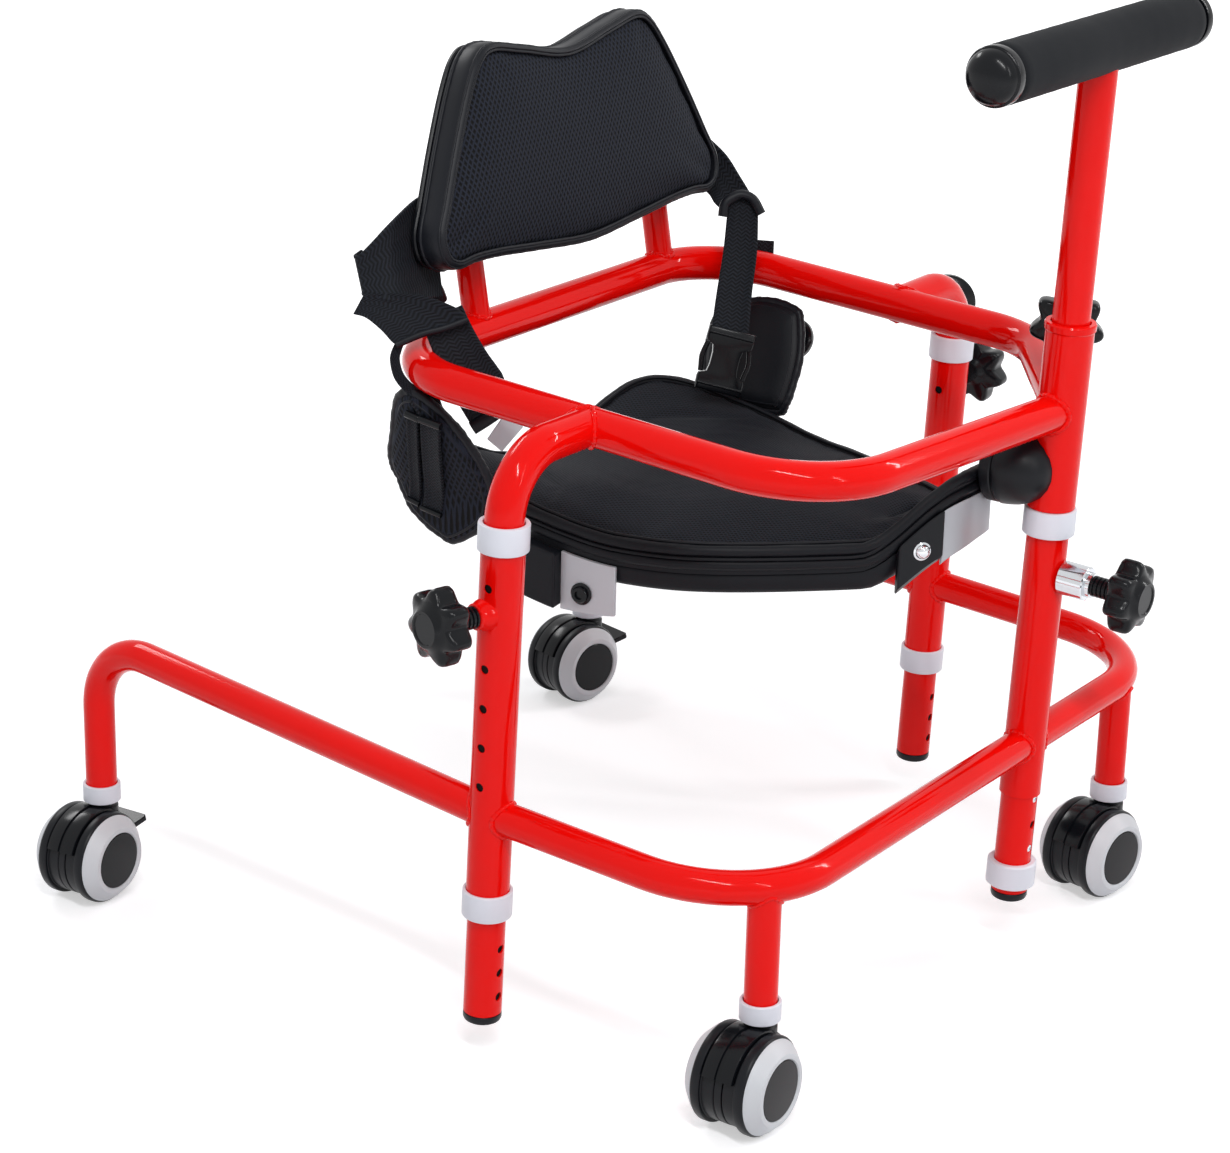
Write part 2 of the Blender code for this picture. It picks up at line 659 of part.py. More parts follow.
def castor(name, x, y, yaw):
    """A swivelling twin-wheel castor: collar, forked housing and two wheels."""
    stem = Vector((x, y, 0.0))
    turn = Matrix.Translation(stem) @ Matrix.Rotation(radians(yaw), 4, "Z")
    radius = WHEEL_DIAMETER / 2
    axle = Vector((-CASTOR_TRAIL, 0.0, radius))
    inner = BASE_TUBE / 2 + GAP
    outer = inner + COLLAR_WALL
    low = STEM_BOTTOM - COLLAR_LIP
    ring = [
        (inner, low + STEM_COLLAR_HEIGHT),
        (outer, low + STEM_COLLAR_HEIGHT),
        (outer, low),
        (NECK / 2 - 0.004, low),
        (NECK / 2 - 0.004, STEM_BOTTOM - GAP),
        (inner, STEM_BOTTOM - GAP),
    ]
    turned(f"castor_collar_{name}", ring, Matrix.Translation(stem), WHITE, sides=16)
    housing_half = WHEEL_SLOT / 2
    housing = turned(f"castor_housing_{name}", [
        (0.0, low - GAP),
        (NECK / 2, low - GAP),
        (NECK / 2 + 0.0012, low - 0.004),
        (NECK / 2 + 0.0012, radius + 0.020),
        (0.0, radius + 0.020),
    ], Matrix.Translation(stem), BLACK, sides=16)
    reach = housing_half + WHEEL_WIDTH
    across = turn.to_3x3() @ Vector((0.0, 1.0, 0.0))
    room = rod(f"castor_room_{name}", turn @ axle - across * reach, turn @ axle + across * reach,
               radius + HOOD_GROWTH - HOOD_WALL * 0.5)
    boolean(housing, room, "DIFFERENCE")
    web = rod(f"castor_web_{name}", turn @ (axle - Vector((0.0, housing_half, 0.0))),
              turn @ (axle + Vector((0.0, housing_half, 0.0))), radius - 0.002)
    boolean(housing, web, "UNION")
    hood = hood_shell(f"castor_hood_{name}", turn, axle, radius)
    boolean(housing, hood, "UNION")
    pin = rod(f"castor_axle_{name}", turn @ (axle - Vector((0.0, reach - 0.004, 0.0))),
              turn @ (axle + Vector((0.0, reach - 0.004, 0.0))), AXLE / 2, sides=12)
    boolean(housing, pin, "UNION")
    if name.startswith("rear"):
        reach_out = radius + HOOD_GROWTH + BRAKE[0] / 2 - 0.0004
        tab = Matrix.Rotation(-radians(HOOD_START), 4, "Y") @ Matrix.Translation((reach_out, 0.0, 0.0))
        bm = bmesh.new()
        place = turn @ Matrix.Translation(axle) @ tab
        bmesh.ops.create_cube(bm, size=1.0, matrix=place @ Matrix.Diagonal((*BRAKE, 1.0)))
        boolean(housing, add_mesh(f"castor_brake_{name}", bm), "UNION")
    for side, label in ((-1, "a"), (1, "b")):
        wheel(f"castor_wheel_{label}_{name}", turn, axle, side)


def hood_shell(name, turn, axle, radius):
    """The hood over both wheels: an arc of wall along the wheel axis."""
    outer = radius + HOOD_GROWTH
    inner = outer - HOOD_WALL
    reach = WHEEL_SLOT / 2 + HOOD_WIDTH
    steps = 7
    angles = [radians(HOOD_START + (HOOD_END - HOOD_START) * i / steps) for i in range(steps + 1)]
    rings = []
    for a in angles:
        ring = []
        for r, w in ((inner, -reach), (outer, -reach), (outer, reach), (inner, reach)):
            ring.append(turn @ (axle + Vector((r * cos(a), w, r * sin(a)))))
        rings.append(ring)
    return loft(name, rings)


def wheel(name, turn, axle, side):
    """One wheel: a rounded tread with a hub recess on its outer face."""
    inner = WHEEL_SLOT / 2 + 0.0006
    matrix = turn @ Matrix.Translation(axle + Vector((0.0, side * inner, 0.0)))
    matrix = matrix @ Matrix.Rotation(-side * pi / 2, 4, "X")
    radius = WHEEL_DIAMETER / 2
    tread = radius - HOOD_WALL + HOOD_GROWTH - 0.0009
    bore = AXLE / 2 + GAP
    step = HOOD_WIDTH + 0.0008
    profile = [
        (bore, 0.0),
        (tread, 0.0),
        (tread, step),
        (radius, step),
        (radius, WHEEL_WIDTH - 0.005),
        (radius - 0.0075, WHEEL_WIDTH),
        (radius - 0.0135, WHEEL_WIDTH),
        (bore, WHEEL_WIDTH - 0.0010),
    ]
    return turned(name, profile, matrix, BLACK, sides=20)


def knob_axis(yaw):
    """A direction square to the guide tubes at a yaw in degrees from +X."""
    flat = Vector((cos(radians(yaw)), sin(radians(yaw)), 0.0))
    return (flat - GUIDE_AXIS * flat.dot(GUIDE_AXIS)).normalized()


def star_knob(name, point, yaw, stand_off):
    """A lobed clamping knob whose neck starts at a stand-off from a tube's axis."""
    axis = knob_axis(yaw)
    start = Vector(point) + axis * stand_off
    matrix = frame_at(start, axis, GUIDE_AXIS)
    big = KNOB_DIAMETER / 2
    levels = [
        (0.0070, 0.0, 0.0),
        (0.0070, 0.0, KNOB_NECK - 0.005),
        (0.0105, 0.0, KNOB_NECK - 0.002),
        (big * 0.80, 0.05, KNOB_NECK),
        (big, 0.11, KNOB_NECK + 0.005),
        (big, 0.11, KNOB_NECK + KNOB_DEPTH * 0.70),
        (big * 0.62, 0.04, KNOB_NECK + KNOB_DEPTH),
    ]
    count = KNOB_LOBES * 4
    rings = []
    for radius, lobe, height in levels:
        ring = []
        for i in range(count):
            a = 2 * pi * i / count
            r = radius * (1 - lobe * (1 - cos(KNOB_LOBES * a)))
            ring.append(matrix @ Vector((r * cos(a), r * sin(a), height)))
        rings.append(ring)
    return loft(name, rings, BLACK, origin=start)


def knob_boss(name, point, yaw, length, look=None, sides=16, radius=0.0085):
    """A short boss or nut that carries a knob, square to a tube's axis."""
    axis = knob_axis(yaw)
    start = Vector(point) + axis * (0.002 if look is None else GUIDE_TUBE / 2 + GAP)
    end = Vector(point) + axis * length
    if look is None:
        return rod(name, start, end, radius, sides=sides)
    return rod(name, start, end, radius, look, model, sides)


def clamp_knobs():
    """The four star knobs with their bosses and nuts, and the mushroom knob at the far bend."""
    near = leg_point(-1, NEAR_KNOB_Z)
    star_knob("leg_knob_near", near, NEAR_KNOB_YAW, BOSS_REACH + GAP)
    far = leg_point(1, FAR_KNOB_Z)
    knob_boss("leg_nut_far", far, FAR_KNOB_YAW, FAR_NUT_REACH, CHROME, sides=6)
    star_knob("leg_knob_far", far, FAR_KNOB_YAW, FAR_NUT_REACH + GAP)
    mast = mast_point(MAST_KNOB_Z)
    knob_boss("mast_nut", mast, MAST_KNOB_YAW, NUT_REACH, CHROME, sides=6, radius=0.0115)
    star_knob("mast_knob", mast, MAST_KNOB_YAW, NUT_REACH + GAP)
    grip = mast_point(HANDLE_KNOB_Z)
    star_knob("handle_knob", grip, HANDLE_KNOB_YAW, BOSS_REACH + GAP)
    mushroom("bend_knob", bend_point(), BEND_KNOB_YAW, BOSS_REACH + GAP)


def mushroom(name, point, yaw, stand_off):
    """A round knob with a slim neck and a domed head."""
    axis = knob_axis(yaw)
    start = Vector(point) + axis * stand_off
    big = MUSHROOM_DIAMETER / 2
    profile = [
        (0.0, 0.0),
        (0.0075, 0.0),
        (0.0065, 0.006),
        (big * 0.8, 0.009),
        (big, 0.012),
        (big, 0.016),
        (big * 0.82, 0.0195),
        (0.0, 0.0205),
    ]
    return turned(name, profile, frame_at(start, axis), BLACK)


def handle():
    """The push handle: a T of tube in the sleeve, a foam grip and two end caps."""
    low = mast_point(SLEEVE_TOP - HANDLE_INSERT)
    head = mast_point(GRIP_Z)
    tube = rod("handle_tube", low, head, HANDLE_TUBE / 2, RED, origin=low)
    half = GRIP_LENGTH / 2
    centre = Vector((GRIP_CENTRE_X, head.y, GRIP_Z))
    across = Vector((1.0, 0.0, 0.0))
    bar = rod("handle_bar", centre - across * (half + 0.006), centre + across * (half + 0.006), GRIP_BAR / 2)
    boolean(tube, bar, "UNION")
    outer = GRIP_DIAMETER / 2
    inner = GRIP_BAR / 2 + GAP
    profile = [
        (inner, -half),
        (outer - 0.003, -half),
        (outer, -half + 0.003),
        (outer, half - 0.003),
        (outer - 0.003, half),
        (inner, half),
    ]
    foam = turned("foam_grip", profile, frame_at(centre, across), FOAM, sides=20)
    low, high = head - GUIDE_AXIS * GRIP_DIAMETER, head + GUIDE_AXIS * GAP
    notch = rod("foam_notch", low, high, HANDLE_TUBE / 2 + GAP)
    boolean(foam, notch, "DIFFERENCE")
    cap = [
        (0.0, GRIP_CAP_LENGTH),
        (outer * 0.52, GRIP_CAP_LENGTH * 0.92),
        (outer * 0.86, GRIP_CAP_LENGTH * 0.60),
        (outer * 1.02, 0.0024),
        (outer * 1.02, GAP),
        (inner, GAP),
        (inner, 0.007),
        (0.0, 0.007),
    ]
    for side in (-1, 1):
        place = frame_at(centre + across * side * half, across * side)
        turned(f"grip_cap_{side_name(side)}", cap, place, BLACK, sides=20)


def back_outline():
    """The bat-wing outline of the back pad in its own plane, as (x, z) knots."""
    w = BACK_HALF_WIDTH
    low = BACK_BOTTOM
    high = BACK_BOTTOM + BACK_HEIGHT
    half = [
        (0.00 * w, high - 0.0140),
        (0.30 * w, high - 0.0055),
        (0.50 * w, high),
        (0.61 * w, high - 0.0060),
        (0.71 * w, high - 0.0260),
        (0.83 * w, low + 0.0875),
        (0.935 * w, low + 0.0545),
        (1.00 * w, low + 0.0330),
        (0.98 * w, low + 0.0160),
        (0.90 * w, low + 0.0085),
        (0.78 * w, low + 0.0095),
        (0.62 * w, low + 0.0085),
        (0.36 * w, low + 0.0045),
        (0.00 * w, low),
    ]
    mirrored = [(-x, z) for x, z in reversed(half[1:-1])]
    return [Vector((x, 0.0, z)) for x, z in half + mirrored]


def back_rest():
    """The back pad with its crown and bound edge, its shell and two post sockets."""
    back = back_frame()
    outline = closed_curve(back_outline(), 2)
    shift = Vector((BACK_PAD_SHIFT, 0.0, 0.0))
    outline = [point + shift for point in outline]
    middle = shift + Vector((0.0, 0.0, BACK_BOTTOM + BACK_HEIGHT * 0.48))
    socket_inner = BACK_POST_TUBE / 2 + SLIDE_GAP
    socket_outer = socket_inner + SOCKET_WALL
    shell_back = -(socket_outer + GAP)
    shell_front = shell_back - BACK_SHELL
    slide_origin = back @ Vector((0.0, 0.0, BACK_BOTTOM))

    def layer(name, levels, look):
        rings = []
        for share, inset, depth in levels:
            ring = []
            for point in outline:
                out = point - middle
                reach = share * (1 - inset / out.length)
                ring.append(back @ (middle + out * reach + Vector((0.0, depth, 0.0))))
            rings.append(ring)
        return loft(name, rings, look, origin=slide_origin)

    layer("backrest_shell", [
        (0.97, 0.003, shell_back),
        (1.0, 0.001, shell_back - 0.002),
        (1.0, 0.001, shell_front + 0.001),
        (0.98, 0.003, shell_front),
    ], BLACK)
    face = shell_front - GAP
    layer("backrest_pad", [
        (0.98, 0.003, face),
        (1.0, 0.0, face - 0.004),
        (1.0, 0.0015, face - BACK_PAD * 0.42),
        (1.0, 0.0, face - BACK_PAD * 0.60),
        (1.0, 0.004, face - BACK_PAD * 0.74),
        (0.95, 0.006, face - BACK_PAD * 0.72),
        (0.88, 0.006, face - BACK_PAD * 0.86),
        (0.62, 0.006, face - BACK_PAD * 0.98),
        (0.30, 0.0, face - BACK_PAD),
    ], CLOTH)
    for side in (-1, 1):
        base = back @ Vector((side * BACK_POST_HALF, 0.0, BACK_POST_LENGTH - SOCKET_LENGTH - 0.010))
        axis = back.to_3x3() @ Vector((0.0, 0.0, 1.0))
        tube = [
            (socket_inner, 0.0),
            (socket_outer, 0.0),
            (socket_outer, SOCKET_LENGTH),
            (socket_inner, SOCKET_LENGTH),
        ]
        turned(f"backrest_socket_{side_name(side)}", tube, frame_at(base, axis), BLACK, sides=20)


def seat_outline(per_span=3):
    """The saddle's plan outline, nose at -Y, as a smooth closed curve."""
    w = SEAT_HALF_WIDTH
    front = SEAT_FRONT_Y
    rear = SEAT_FRONT_Y + SEAT_LENGTH
    side_rear = rear - SEAT_REAR_LENGTH
    side_front = side_rear - SEAT_SIDE_LENGTH
    knots = [
        (0.034, front),
        (0.000, front + 0.006),
        (-0.40 * w, front + 0.050),
        (-0.86 * w, front + 0.128),
        (-1.00 * w, side_front),
        (-1.00 * w, side_rear),
        (-0.80 * w, rear - 0.020),
        (-0.40 * w, rear - 0.002),
        (0.00 * w, rear),
        (0.40 * w, rear - 0.002),
        (0.80 * w, rear - 0.020),
        (1.00 * w, side_rear),
        (1.00 * w, side_front),
        (0.86 * w, front + 0.128),
        (0.62 * w, front + 0.050),
        (0.062, front + 0.006),
    ]
    return closed_curve([(x + SEAT_X, y, 0.0) for x, y in knots], per_span)


def seat_height(x, y):
    """Height of the saddle's upper side at a plan position."""
    nose = smooth_step((SEAT_Y - SEAT_NOSE_START - y) / SEAT_NOSE_RUN)
    aside = abs(x - SEAT_X)
    rear = smooth_step((y - SEAT_Y) / SEAT_REAR_RUN) * smooth_step((aside - 0.050) / 0.090)
    corner = smooth_step((y - SEAT_Y - SEAT_CORNER_START) / SEAT_CORNER_RUN)
    share = smooth_step(aside / (0.75 * SEAT_HALF_WIDTH))
    end = corner * (SEAT_CORNER_RISE * share - SEAT_REAR_DIP * (1 - share))
    return SEAT_Z + SEAT_RISE * nose + SEAT_REAR_SIDE_RISE * rear + end


def saddle_layer(name, levels, look, per_span=3):
    """A layer of the saddle; each level is (share, inset, depth below the saddle surface)."""
    outline = seat_outline(per_span)
    centre = Vector((SEAT_X, SEAT_Y - 0.010, 0.0))
    rings = []
    for share, inset, depth in levels:
        ring = []
        for point in outline:
            out = point - centre
            plan = centre + out * (share * (1 - inset / out.length))
            ring.append(Vector((plan.x, plan.y, seat_height(plan.x, plan.y) - depth)))
        rings.append(ring)
    return loft(name, rings, look)


def saddle():
    """The saddle pad with two piped edges and crown, and the tray under it."""
    pad = SEAT_PAD
    saddle_layer("seat_pad", [
        (0.30, 0.0, pad),
        (0.66, 0.0, pad),
        (0.94, 0.0, pad),
        (1.0, 0.005, pad),
        (1.0, 0.0, pad - PIPING * 0.5),
        (1.0, 0.0, pad - PIPING * 1.4),
        (1.0, 0.003, pad * 0.5),
        (1.0, 0.0, PIPING * 1.4),
        (1.0, 0.0, PIPING * 0.5),
        (1.0, 0.004, 0.0006),
        (0.92, 0.003, -0.0012),
        (0.70, 0.0, -0.0045),
        (0.45, 0.0, -0.0062),
        (0.20, 0.0, -0.0070),
    ], CLOTH)
    top = pad + GAP
    saddle_layer("seat_tray", [
        (0.40, 0.0, top + SEAT_TRAY * 0.6),
        (0.86, 0.0, top + SEAT_TRAY * 0.8),
        (0.95, 0.004, top + SEAT_TRAY),
        (1.0, 0.006, top + SEAT_TRAY * 0.8),
        (1.0, 0.0038, top + 0.002),
        (1.0, 0.005, top),
        (0.94, 0.0, top),
        (0.66, 0.0, top),
        (0.30, 0.0, top),
    ], LEATHER)


def wing_frame(side):
    """The frame of a side wing: local X along Y, local Z up its slope."""
    foot_x = SEAT_X + side * (SEAT_HALF_WIDTH + SEAT_GAP + WING_STAND[side])
    foot = Vector((foot_x, WING_Y[side], WING_BOTTOM_Z))
    head = Vector((side * (RING_HALF_WIDTH - WING_TOP_INSET), WING_Y[side], WING_TOP_Z))
    return frame_at(foot, head - foot, (0.0, 1.0, 0.0)), (head - foot).length


def wing_outline(side):
    """The outline of a side wing in its own plane, as (along, up) knots."""
    if side < 0:
        knots = [
            (0.0200, 0.0728),
            (0.0040, 0.0824),
            (-0.0120, 0.0752),
            (-0.0270, 0.0596),
            (-0.0355, 0.0440),
            (-0.0410, 0.0290),
            (-0.0430, 0.0110),
            (-0.0380, -0.0150),
            (-0.0100, -0.0365),
            (0.0080, -0.0340),
            (0.0280, -0.0226),
            (0.0370, -0.0100),
            (0.0430, 0.0040),
            (0.0430, 0.0190),
            (0.0326, 0.0450),
        ]
    else:
        knots = [
            (0.0360, 0.0090),
            (0.0410, 0.0280),
            (0.0390, 0.0590),
            (0.0160, 0.0700),
            (-0.0040, 0.0740),
            (-0.0270, 0.0706),
            (-0.0350, 0.0600),
            (-0.0420, 0.0350),
            (-0.0425, 0.0090),
            (-0.0400, -0.0040),
            (-0.0330, -0.0100),
            (0.0000, -0.0110),
            (0.0270, -0.0050),
        ]
    return closed_curve([(x, 0.0, z) for x, z in knots], 2)


def wings():
    """The padded side wings: each leans out to the ring and hangs straight below its foot."""
    thick = WING_THICKNESS / 2
    levels = [
        (0.60, 0.0, -thick),
        (0.88, 0.0, -thick * 0.80),
        (1.0, 0.004, -thick * 0.45),
        (1.0, 0.0, -PIPING * 0.5),
        (1.0, 0.0, PIPING * 0.5),
        (1.0, 0.004, thick * 0.45),
        (0.88, 0.0, thick * 0.80),
        (0.60, 0.0, thick),
    ]
    for side in (-1, 1):
        matrix, height = wing_frame(side)
        outline = wing_outline(side)
        centre = Vector((0.0, 0.0, 0.40 * height))
        rings = []
        for share, inset, depth in levels:
            ring = []
            for point in outline:
                out = point - centre
                plan = centre + out * (share * (1 - inset / out.length))
                drop = Vector((0.0, 0.0, min(0.0, plan.z)))
                plan.z = max(0.0, plan.z)
                ring.append(matrix @ (plan + Vector((0.0, depth, 0.0))) + drop)
            rings.append(ring)
        loft(f"seat_wing_{side_name(side)}", rings, LEATHER)


def ribbon(name, knots, normals, width, look, per_span=3, origin=None):
    """A flat strap along knots; each knot has the direction that its face looks to."""
    centre = open_curve(knots, per_span)
    faces = open_curve(normals, per_span)
    rings = []
    for i, (point, normal) in enumerate(zip(centre, faces)):
        along = (centre[min(i + 1, len(centre) - 1)] - centre[max(i - 1, 0)]).normalized()
        face = (normal - along * normal.dot(along)).normalized()
        half = along.cross(face) * width / 2
        depth = face * STRAP_THICKNESS / 2
        rings.append([point - half - depth, point + half - depth, point + half + depth, point - half + depth])
    return loft(name, rings, look, origin=origin, smooth_angle=40.0)


def seat_edge(distance):
    """A place on the saddle's outline at a distance from its nose; positive is the near side."""
    outline = seat_outline()
    if distance < 0:
        outline = [outline[0], *reversed(outline[1:])]
        distance = -distance
    travelled = 0.0
    for here, there in zip(outline, outline[1:]):
        step = (there - here).length
        if travelled + step >= distance:
            point = here.lerp(there, (distance - travelled) / step)
            along = (there - here).normalized()
            out = Vector((along.y, -along.x, 0.0))
            middle = Vector((SEAT_X, SEAT_Y, 0.0))
            return point, out if out.dot(point - middle) > 0 else -out
        travelled += step
    return outline[-1], Vector((0.0, 1.0, 0.0))


def edge_strip(name, start, end, depths, inset, thickness, look=None, collection=model, steps=6):
    """A plate that follows the saddle's edge under the pad.

    The depths below the saddle surface are (top, bottom) at the start and at the end.
    """
    rings = []
    for i in range(steps + 1):
        share = i / steps
        point, out = seat_edge(start + (end - start) * share)
        top = depths[0][0] * (1 - share) + depths[1][0] * share
        bottom = depths[0][1] * (1 - share) + depths[1][1] * share
        inner = point - out * inset
        outer = inner + out * thickness
        rings.append([Vector((q.x, q.y, seat_height(q.x, q.y) - d)) for q, d in
                      ((inner, bottom), (outer, bottom), (outer, top), (inner, top))])
    return loft(name, rings, look, collection, smooth_angle=40.0)


def edge_fastener(name, distance, depth, inset, look, head=BOLT_HEAD, collection=model):
    """A domed bolt or rivet head on the outer face of an edge strip."""
    point, out = seat_edge(distance)
    place = point - out * inset
    place.z = seat_height(point.x, point.y) - depth
    profile = [(0.0, 0.0), (head, 0.0), (head, 0.0020), (head * 0.7, 0.0038), (0.0, 0.0042)]
    return turned(name, profile, frame_at(place, out), look, sides=14, collection=collection)


def seat_fittings():
    """The edge plates under the pad, their fasteners, and the pommel that joins the sleeve."""
    under = SEAT_PAD + PLATE_DROP
    hold = EDGE_PLATE - SEAT_GAP
    nose_end = NOSE_PLATE_START + NOSE_PLATE_LENGTH
    ends = ((under, under + 0.030), (under, under + 0.036))
    edge_strip("nose_plate", NOSE_PLATE_START, nose_end, ends, hold, EDGE_PLATE, GREY)
    first = nose_end + PLATE_JOINT
    last = first + FRONT_BRACKET_LENGTH
    ends = ((under, under + 0.027), (under, under + 0.026))
    bracket = edge_strip("front_bracket", first, last, ends, hold, BRACKET, BLACK)
    inset = hold - BRACKET + 0.0008
    rivet = edge_fastener("front_rivet", (first + last) / 2, under + 0.014, inset, None, collection=cutters)
    boolean(bracket, rivet, "UNION")
    bracket_end = SIDE_BRACKET_START + SIDE_BRACKET_LENGTH
    block_start = bracket_end + PLATE_JOINT
    block_end = block_start + SIDE_BLOCK_LENGTH
    for side in (-1, 1):
        label = side_name(side)
        first, last = -side * SIDE_BRACKET_START, -side * bracket_end
        ends = ((under, under + 0.034), (under, under + 0.040))
        edge_strip(f"side_bracket_{label}", first, last, ends, hold, EDGE_PLATE, GREY)
        bolt_place = first * 0.4 + last * 0.6
        edge_fastener(f"side_bolt_{label}", bolt_place, under + 0.024, hold - EDGE_PLATE - GAP, BLACK)
        ends = ((under, under + 0.038), (under, under + 0.038))
        first, last = -side * block_start, -side * block_end
        edge_strip(f"side_block_{label}", first, last, ends, hold, SIDE_BLOCK, BLACK)
    sleeve = mast_point(POMMEL_Z)
    r = POMMEL_RADIUS
    reach = SEAT_FRONT_Y - sleeve.y
    profile = [
        (0.0, -GAP - SEAT_GAP),
        (r * 0.86, -GAP - SEAT_GAP),
        (r * 0.98, -0.002),
        (r * 0.98, -POMMEL_BAND + 0.001),
        (r * 0.94, -POMMEL_BAND),
        (r, -POMMEL_BAND - 0.001),
        (r * 0.96, -reach * 0.55),
        (r * 0.80, -reach * 0.85),
        (r * 0.45, -reach * 1.10),
        (0.0, -reach * 1.16),
    ]
    place = frame_at((POMMEL_X, SEAT_FRONT_Y, POMMEL_Z), (0.0, 1.0, 0.0))
    pommel = turned("seat_pommel", profile, place, LEATHER, sides=18)
    low, high = mast_point(POMMEL_Z - 2 * r), mast_point(POMMEL_Z + 2 * r)
    boolean(pommel, rod("pommel_seat", low, high, SLEEVE_TUBE / 2 + SEAT_GAP), "DIFFERENCE")
    matrix, height = wing_frame(1)
    share = (WING_KNOB_Z - WING_BOTTOM_Z) / (WING_TOP_Z - WING_BOTTOM_Z)
    face = matrix @ Vector((-0.018, 0.0, height * share))
    outward = matrix.to_3x3() @ Vector((0.0, 1.0, 0.0))
    if outward.x < 0:
        outward = -outward
    start = face + outward * (WING_THICKNESS / 2 + SEAT_GAP)
    r = WING_KNOB_DIAMETER / 2
    profile = [
        (0.0, 0.0),
        (r * 0.39, 0.0),
        (r * 0.32, 0.0080),
        (r * 0.84, 0.0110),
        (r, 0.0140),
        (r * 0.84, 0.0185),
        (0.0, 0.0195),
    ]
    turned("wing_knob", profile, frame_at(start, outward), BLACK)


def straps():
    """The webbing between back pad, ring and wings, and its side-release buckle."""
    towards = (-0.75, -0.60, 0.25)
    inner = STRAP_INSIDE - RING_HALF_WIDTH
    outer = -RING_HALF_WIDTH
    pad_near = BACK_X + BACK_PAD_SHIFT - BACK_HALF_WIDTH
    pad_far = BACK_X + BACK_PAD_SHIFT + BACK_HALF_WIDTH
    ribbon("near_strap", [
        (pad_near - 0.0056, 0.0935, 0.5011),
        (pad_near - 0.0190, 0.0975, 0.4880),
        (outer - 0.0035, 0.0995, 0.4740),
        (outer - 0.0050, 0.0975, 0.4610),
        (outer + 0.0050, 0.0870, 0.4480),
        (outer + 0.0250, 0.0600, 0.4380),
        (inner - 0.0040, 0.0440, 0.4200),
        (inner, 0.0275, 0.3980),
        (inner - 0.0006, 0.0113, 0.3769),
    ], [
        towards,
        towards,
        (-0.75, -0.60, 0.45),
        (-0.75, -0.60, 0.60),
        (-0.50, -0.50, 0.70),
        (-0.50, -0.60, 0.60),
        towards,
        towards,
        towards,
    ], NEAR_STRAP_WIDTH, CLOTH)
    ribbon("far_strap", [
        (pad_far + 0.0072, 0.0830, 0.5040),
        (pad_far + 0.0120, 0.0660, 0.4950),
        (BUCKLE_X + 0.0360, 0.0480, 0.4820),
        (BUCKLE_X + 0.0030, 0.0375, 0.4600),
        (BUCKLE_X + 0.0010, 0.0355, 0.4340),
        (BUCKLE_X, 0.0395, 0.4040),
        (BUCKLE_X, BUCKLE_Y - 0.0010, BUCKLE_Z + BUCKLE_HEIGHT / 2 + 0.0024),
    ], [towards] * 7, FAR_STRAP_WIDTH, CLOTH)
    down = Vector((-0.25, -0.62, -0.75)).normalized()
    w = TONGUE_WIDTH / 2
    tab = [(0.0, -w), (0.0, w), (TONGUE_LENGTH, 0.78 * w), (TONGUE_LENGTH, -0.78 * w)]
    facing = Vector(towards) - down * Vector(towards).dot(down)
    place = frame_at((inner, 0.0102, 0.3755), facing, down)
    plate("strap_plate", tab, place, STRAP_THICKNESS, GREY)
    facing = Vector((towards[0], towards[1], 0.0)).normalized()
    w = BUCKLE_WIDTH / 2
    h = BUCKLE_HEIGHT / 2
    waist = 0.74 * w
    half = [
        (0.95 * w, -h),
        (w, -0.55 * h),
        (waist, -0.30 * h),
        (waist, 0.30 * h),
        (w, 0.55 * h),
        (0.95 * w, h),
    ]
    outline = [(z, x) for x, z in half] + [(z, -x) for x, z in reversed(half)]
    centre = Vector((BUCKLE_X, BUCKLE_Y, BUCKLE_Z)) - facing * BUCKLE_DEPTH / 2
    plate("strap_buckle", outline, frame_at(centre, facing, (0.0, 0.0, 1.0)), BUCKLE_DEPTH, BLACK)


base_frame()
ring_frame()
guide_collars()
foot_caps()
for castor_name, castor_x, castor_y, castor_yaw in castor_places():
    castor(castor_name, castor_x, castor_y, castor_yaw)
clamp_knobs()
handle()
back_rest()
saddle()
wings()
seat_fittings()
straps()
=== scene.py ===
"""The looks of a pediatric walker, in metres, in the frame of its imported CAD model.

The child faces -Y and the child's right side, -X, is called near. Every class below
is one sub-assembly of the walker. It holds its sizes as fields, models its pieces
with Blender's own operators and dresses them in the finishes of the real product.
"""

import logging
from dataclasses import dataclass
from enum import Enum
from math import cos, pi, radians, sin, sqrt, tan
from typing import Callable, Sequence

import bmesh
import bpy
from bpy.types import Material, Node, NodeSocket, NodeTree, Object
from mathutils import Matrix, Vector


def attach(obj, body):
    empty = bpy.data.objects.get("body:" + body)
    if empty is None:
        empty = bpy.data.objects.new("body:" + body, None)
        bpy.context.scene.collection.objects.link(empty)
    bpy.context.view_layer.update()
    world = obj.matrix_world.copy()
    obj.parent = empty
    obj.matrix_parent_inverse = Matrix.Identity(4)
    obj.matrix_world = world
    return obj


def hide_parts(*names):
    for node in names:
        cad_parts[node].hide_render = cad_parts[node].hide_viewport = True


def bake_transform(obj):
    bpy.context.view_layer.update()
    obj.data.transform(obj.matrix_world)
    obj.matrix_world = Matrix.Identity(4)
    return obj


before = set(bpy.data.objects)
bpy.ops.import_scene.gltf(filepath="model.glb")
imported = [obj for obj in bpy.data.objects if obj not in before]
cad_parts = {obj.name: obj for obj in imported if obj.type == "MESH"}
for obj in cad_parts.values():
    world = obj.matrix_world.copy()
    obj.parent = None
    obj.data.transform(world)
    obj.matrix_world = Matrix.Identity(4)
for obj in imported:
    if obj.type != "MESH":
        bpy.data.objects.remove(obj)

Points = Sequence[Sequence[float]]
Profile = Sequence[tuple[float, float]]
Levels = Sequence[tuple[float, float, float]]

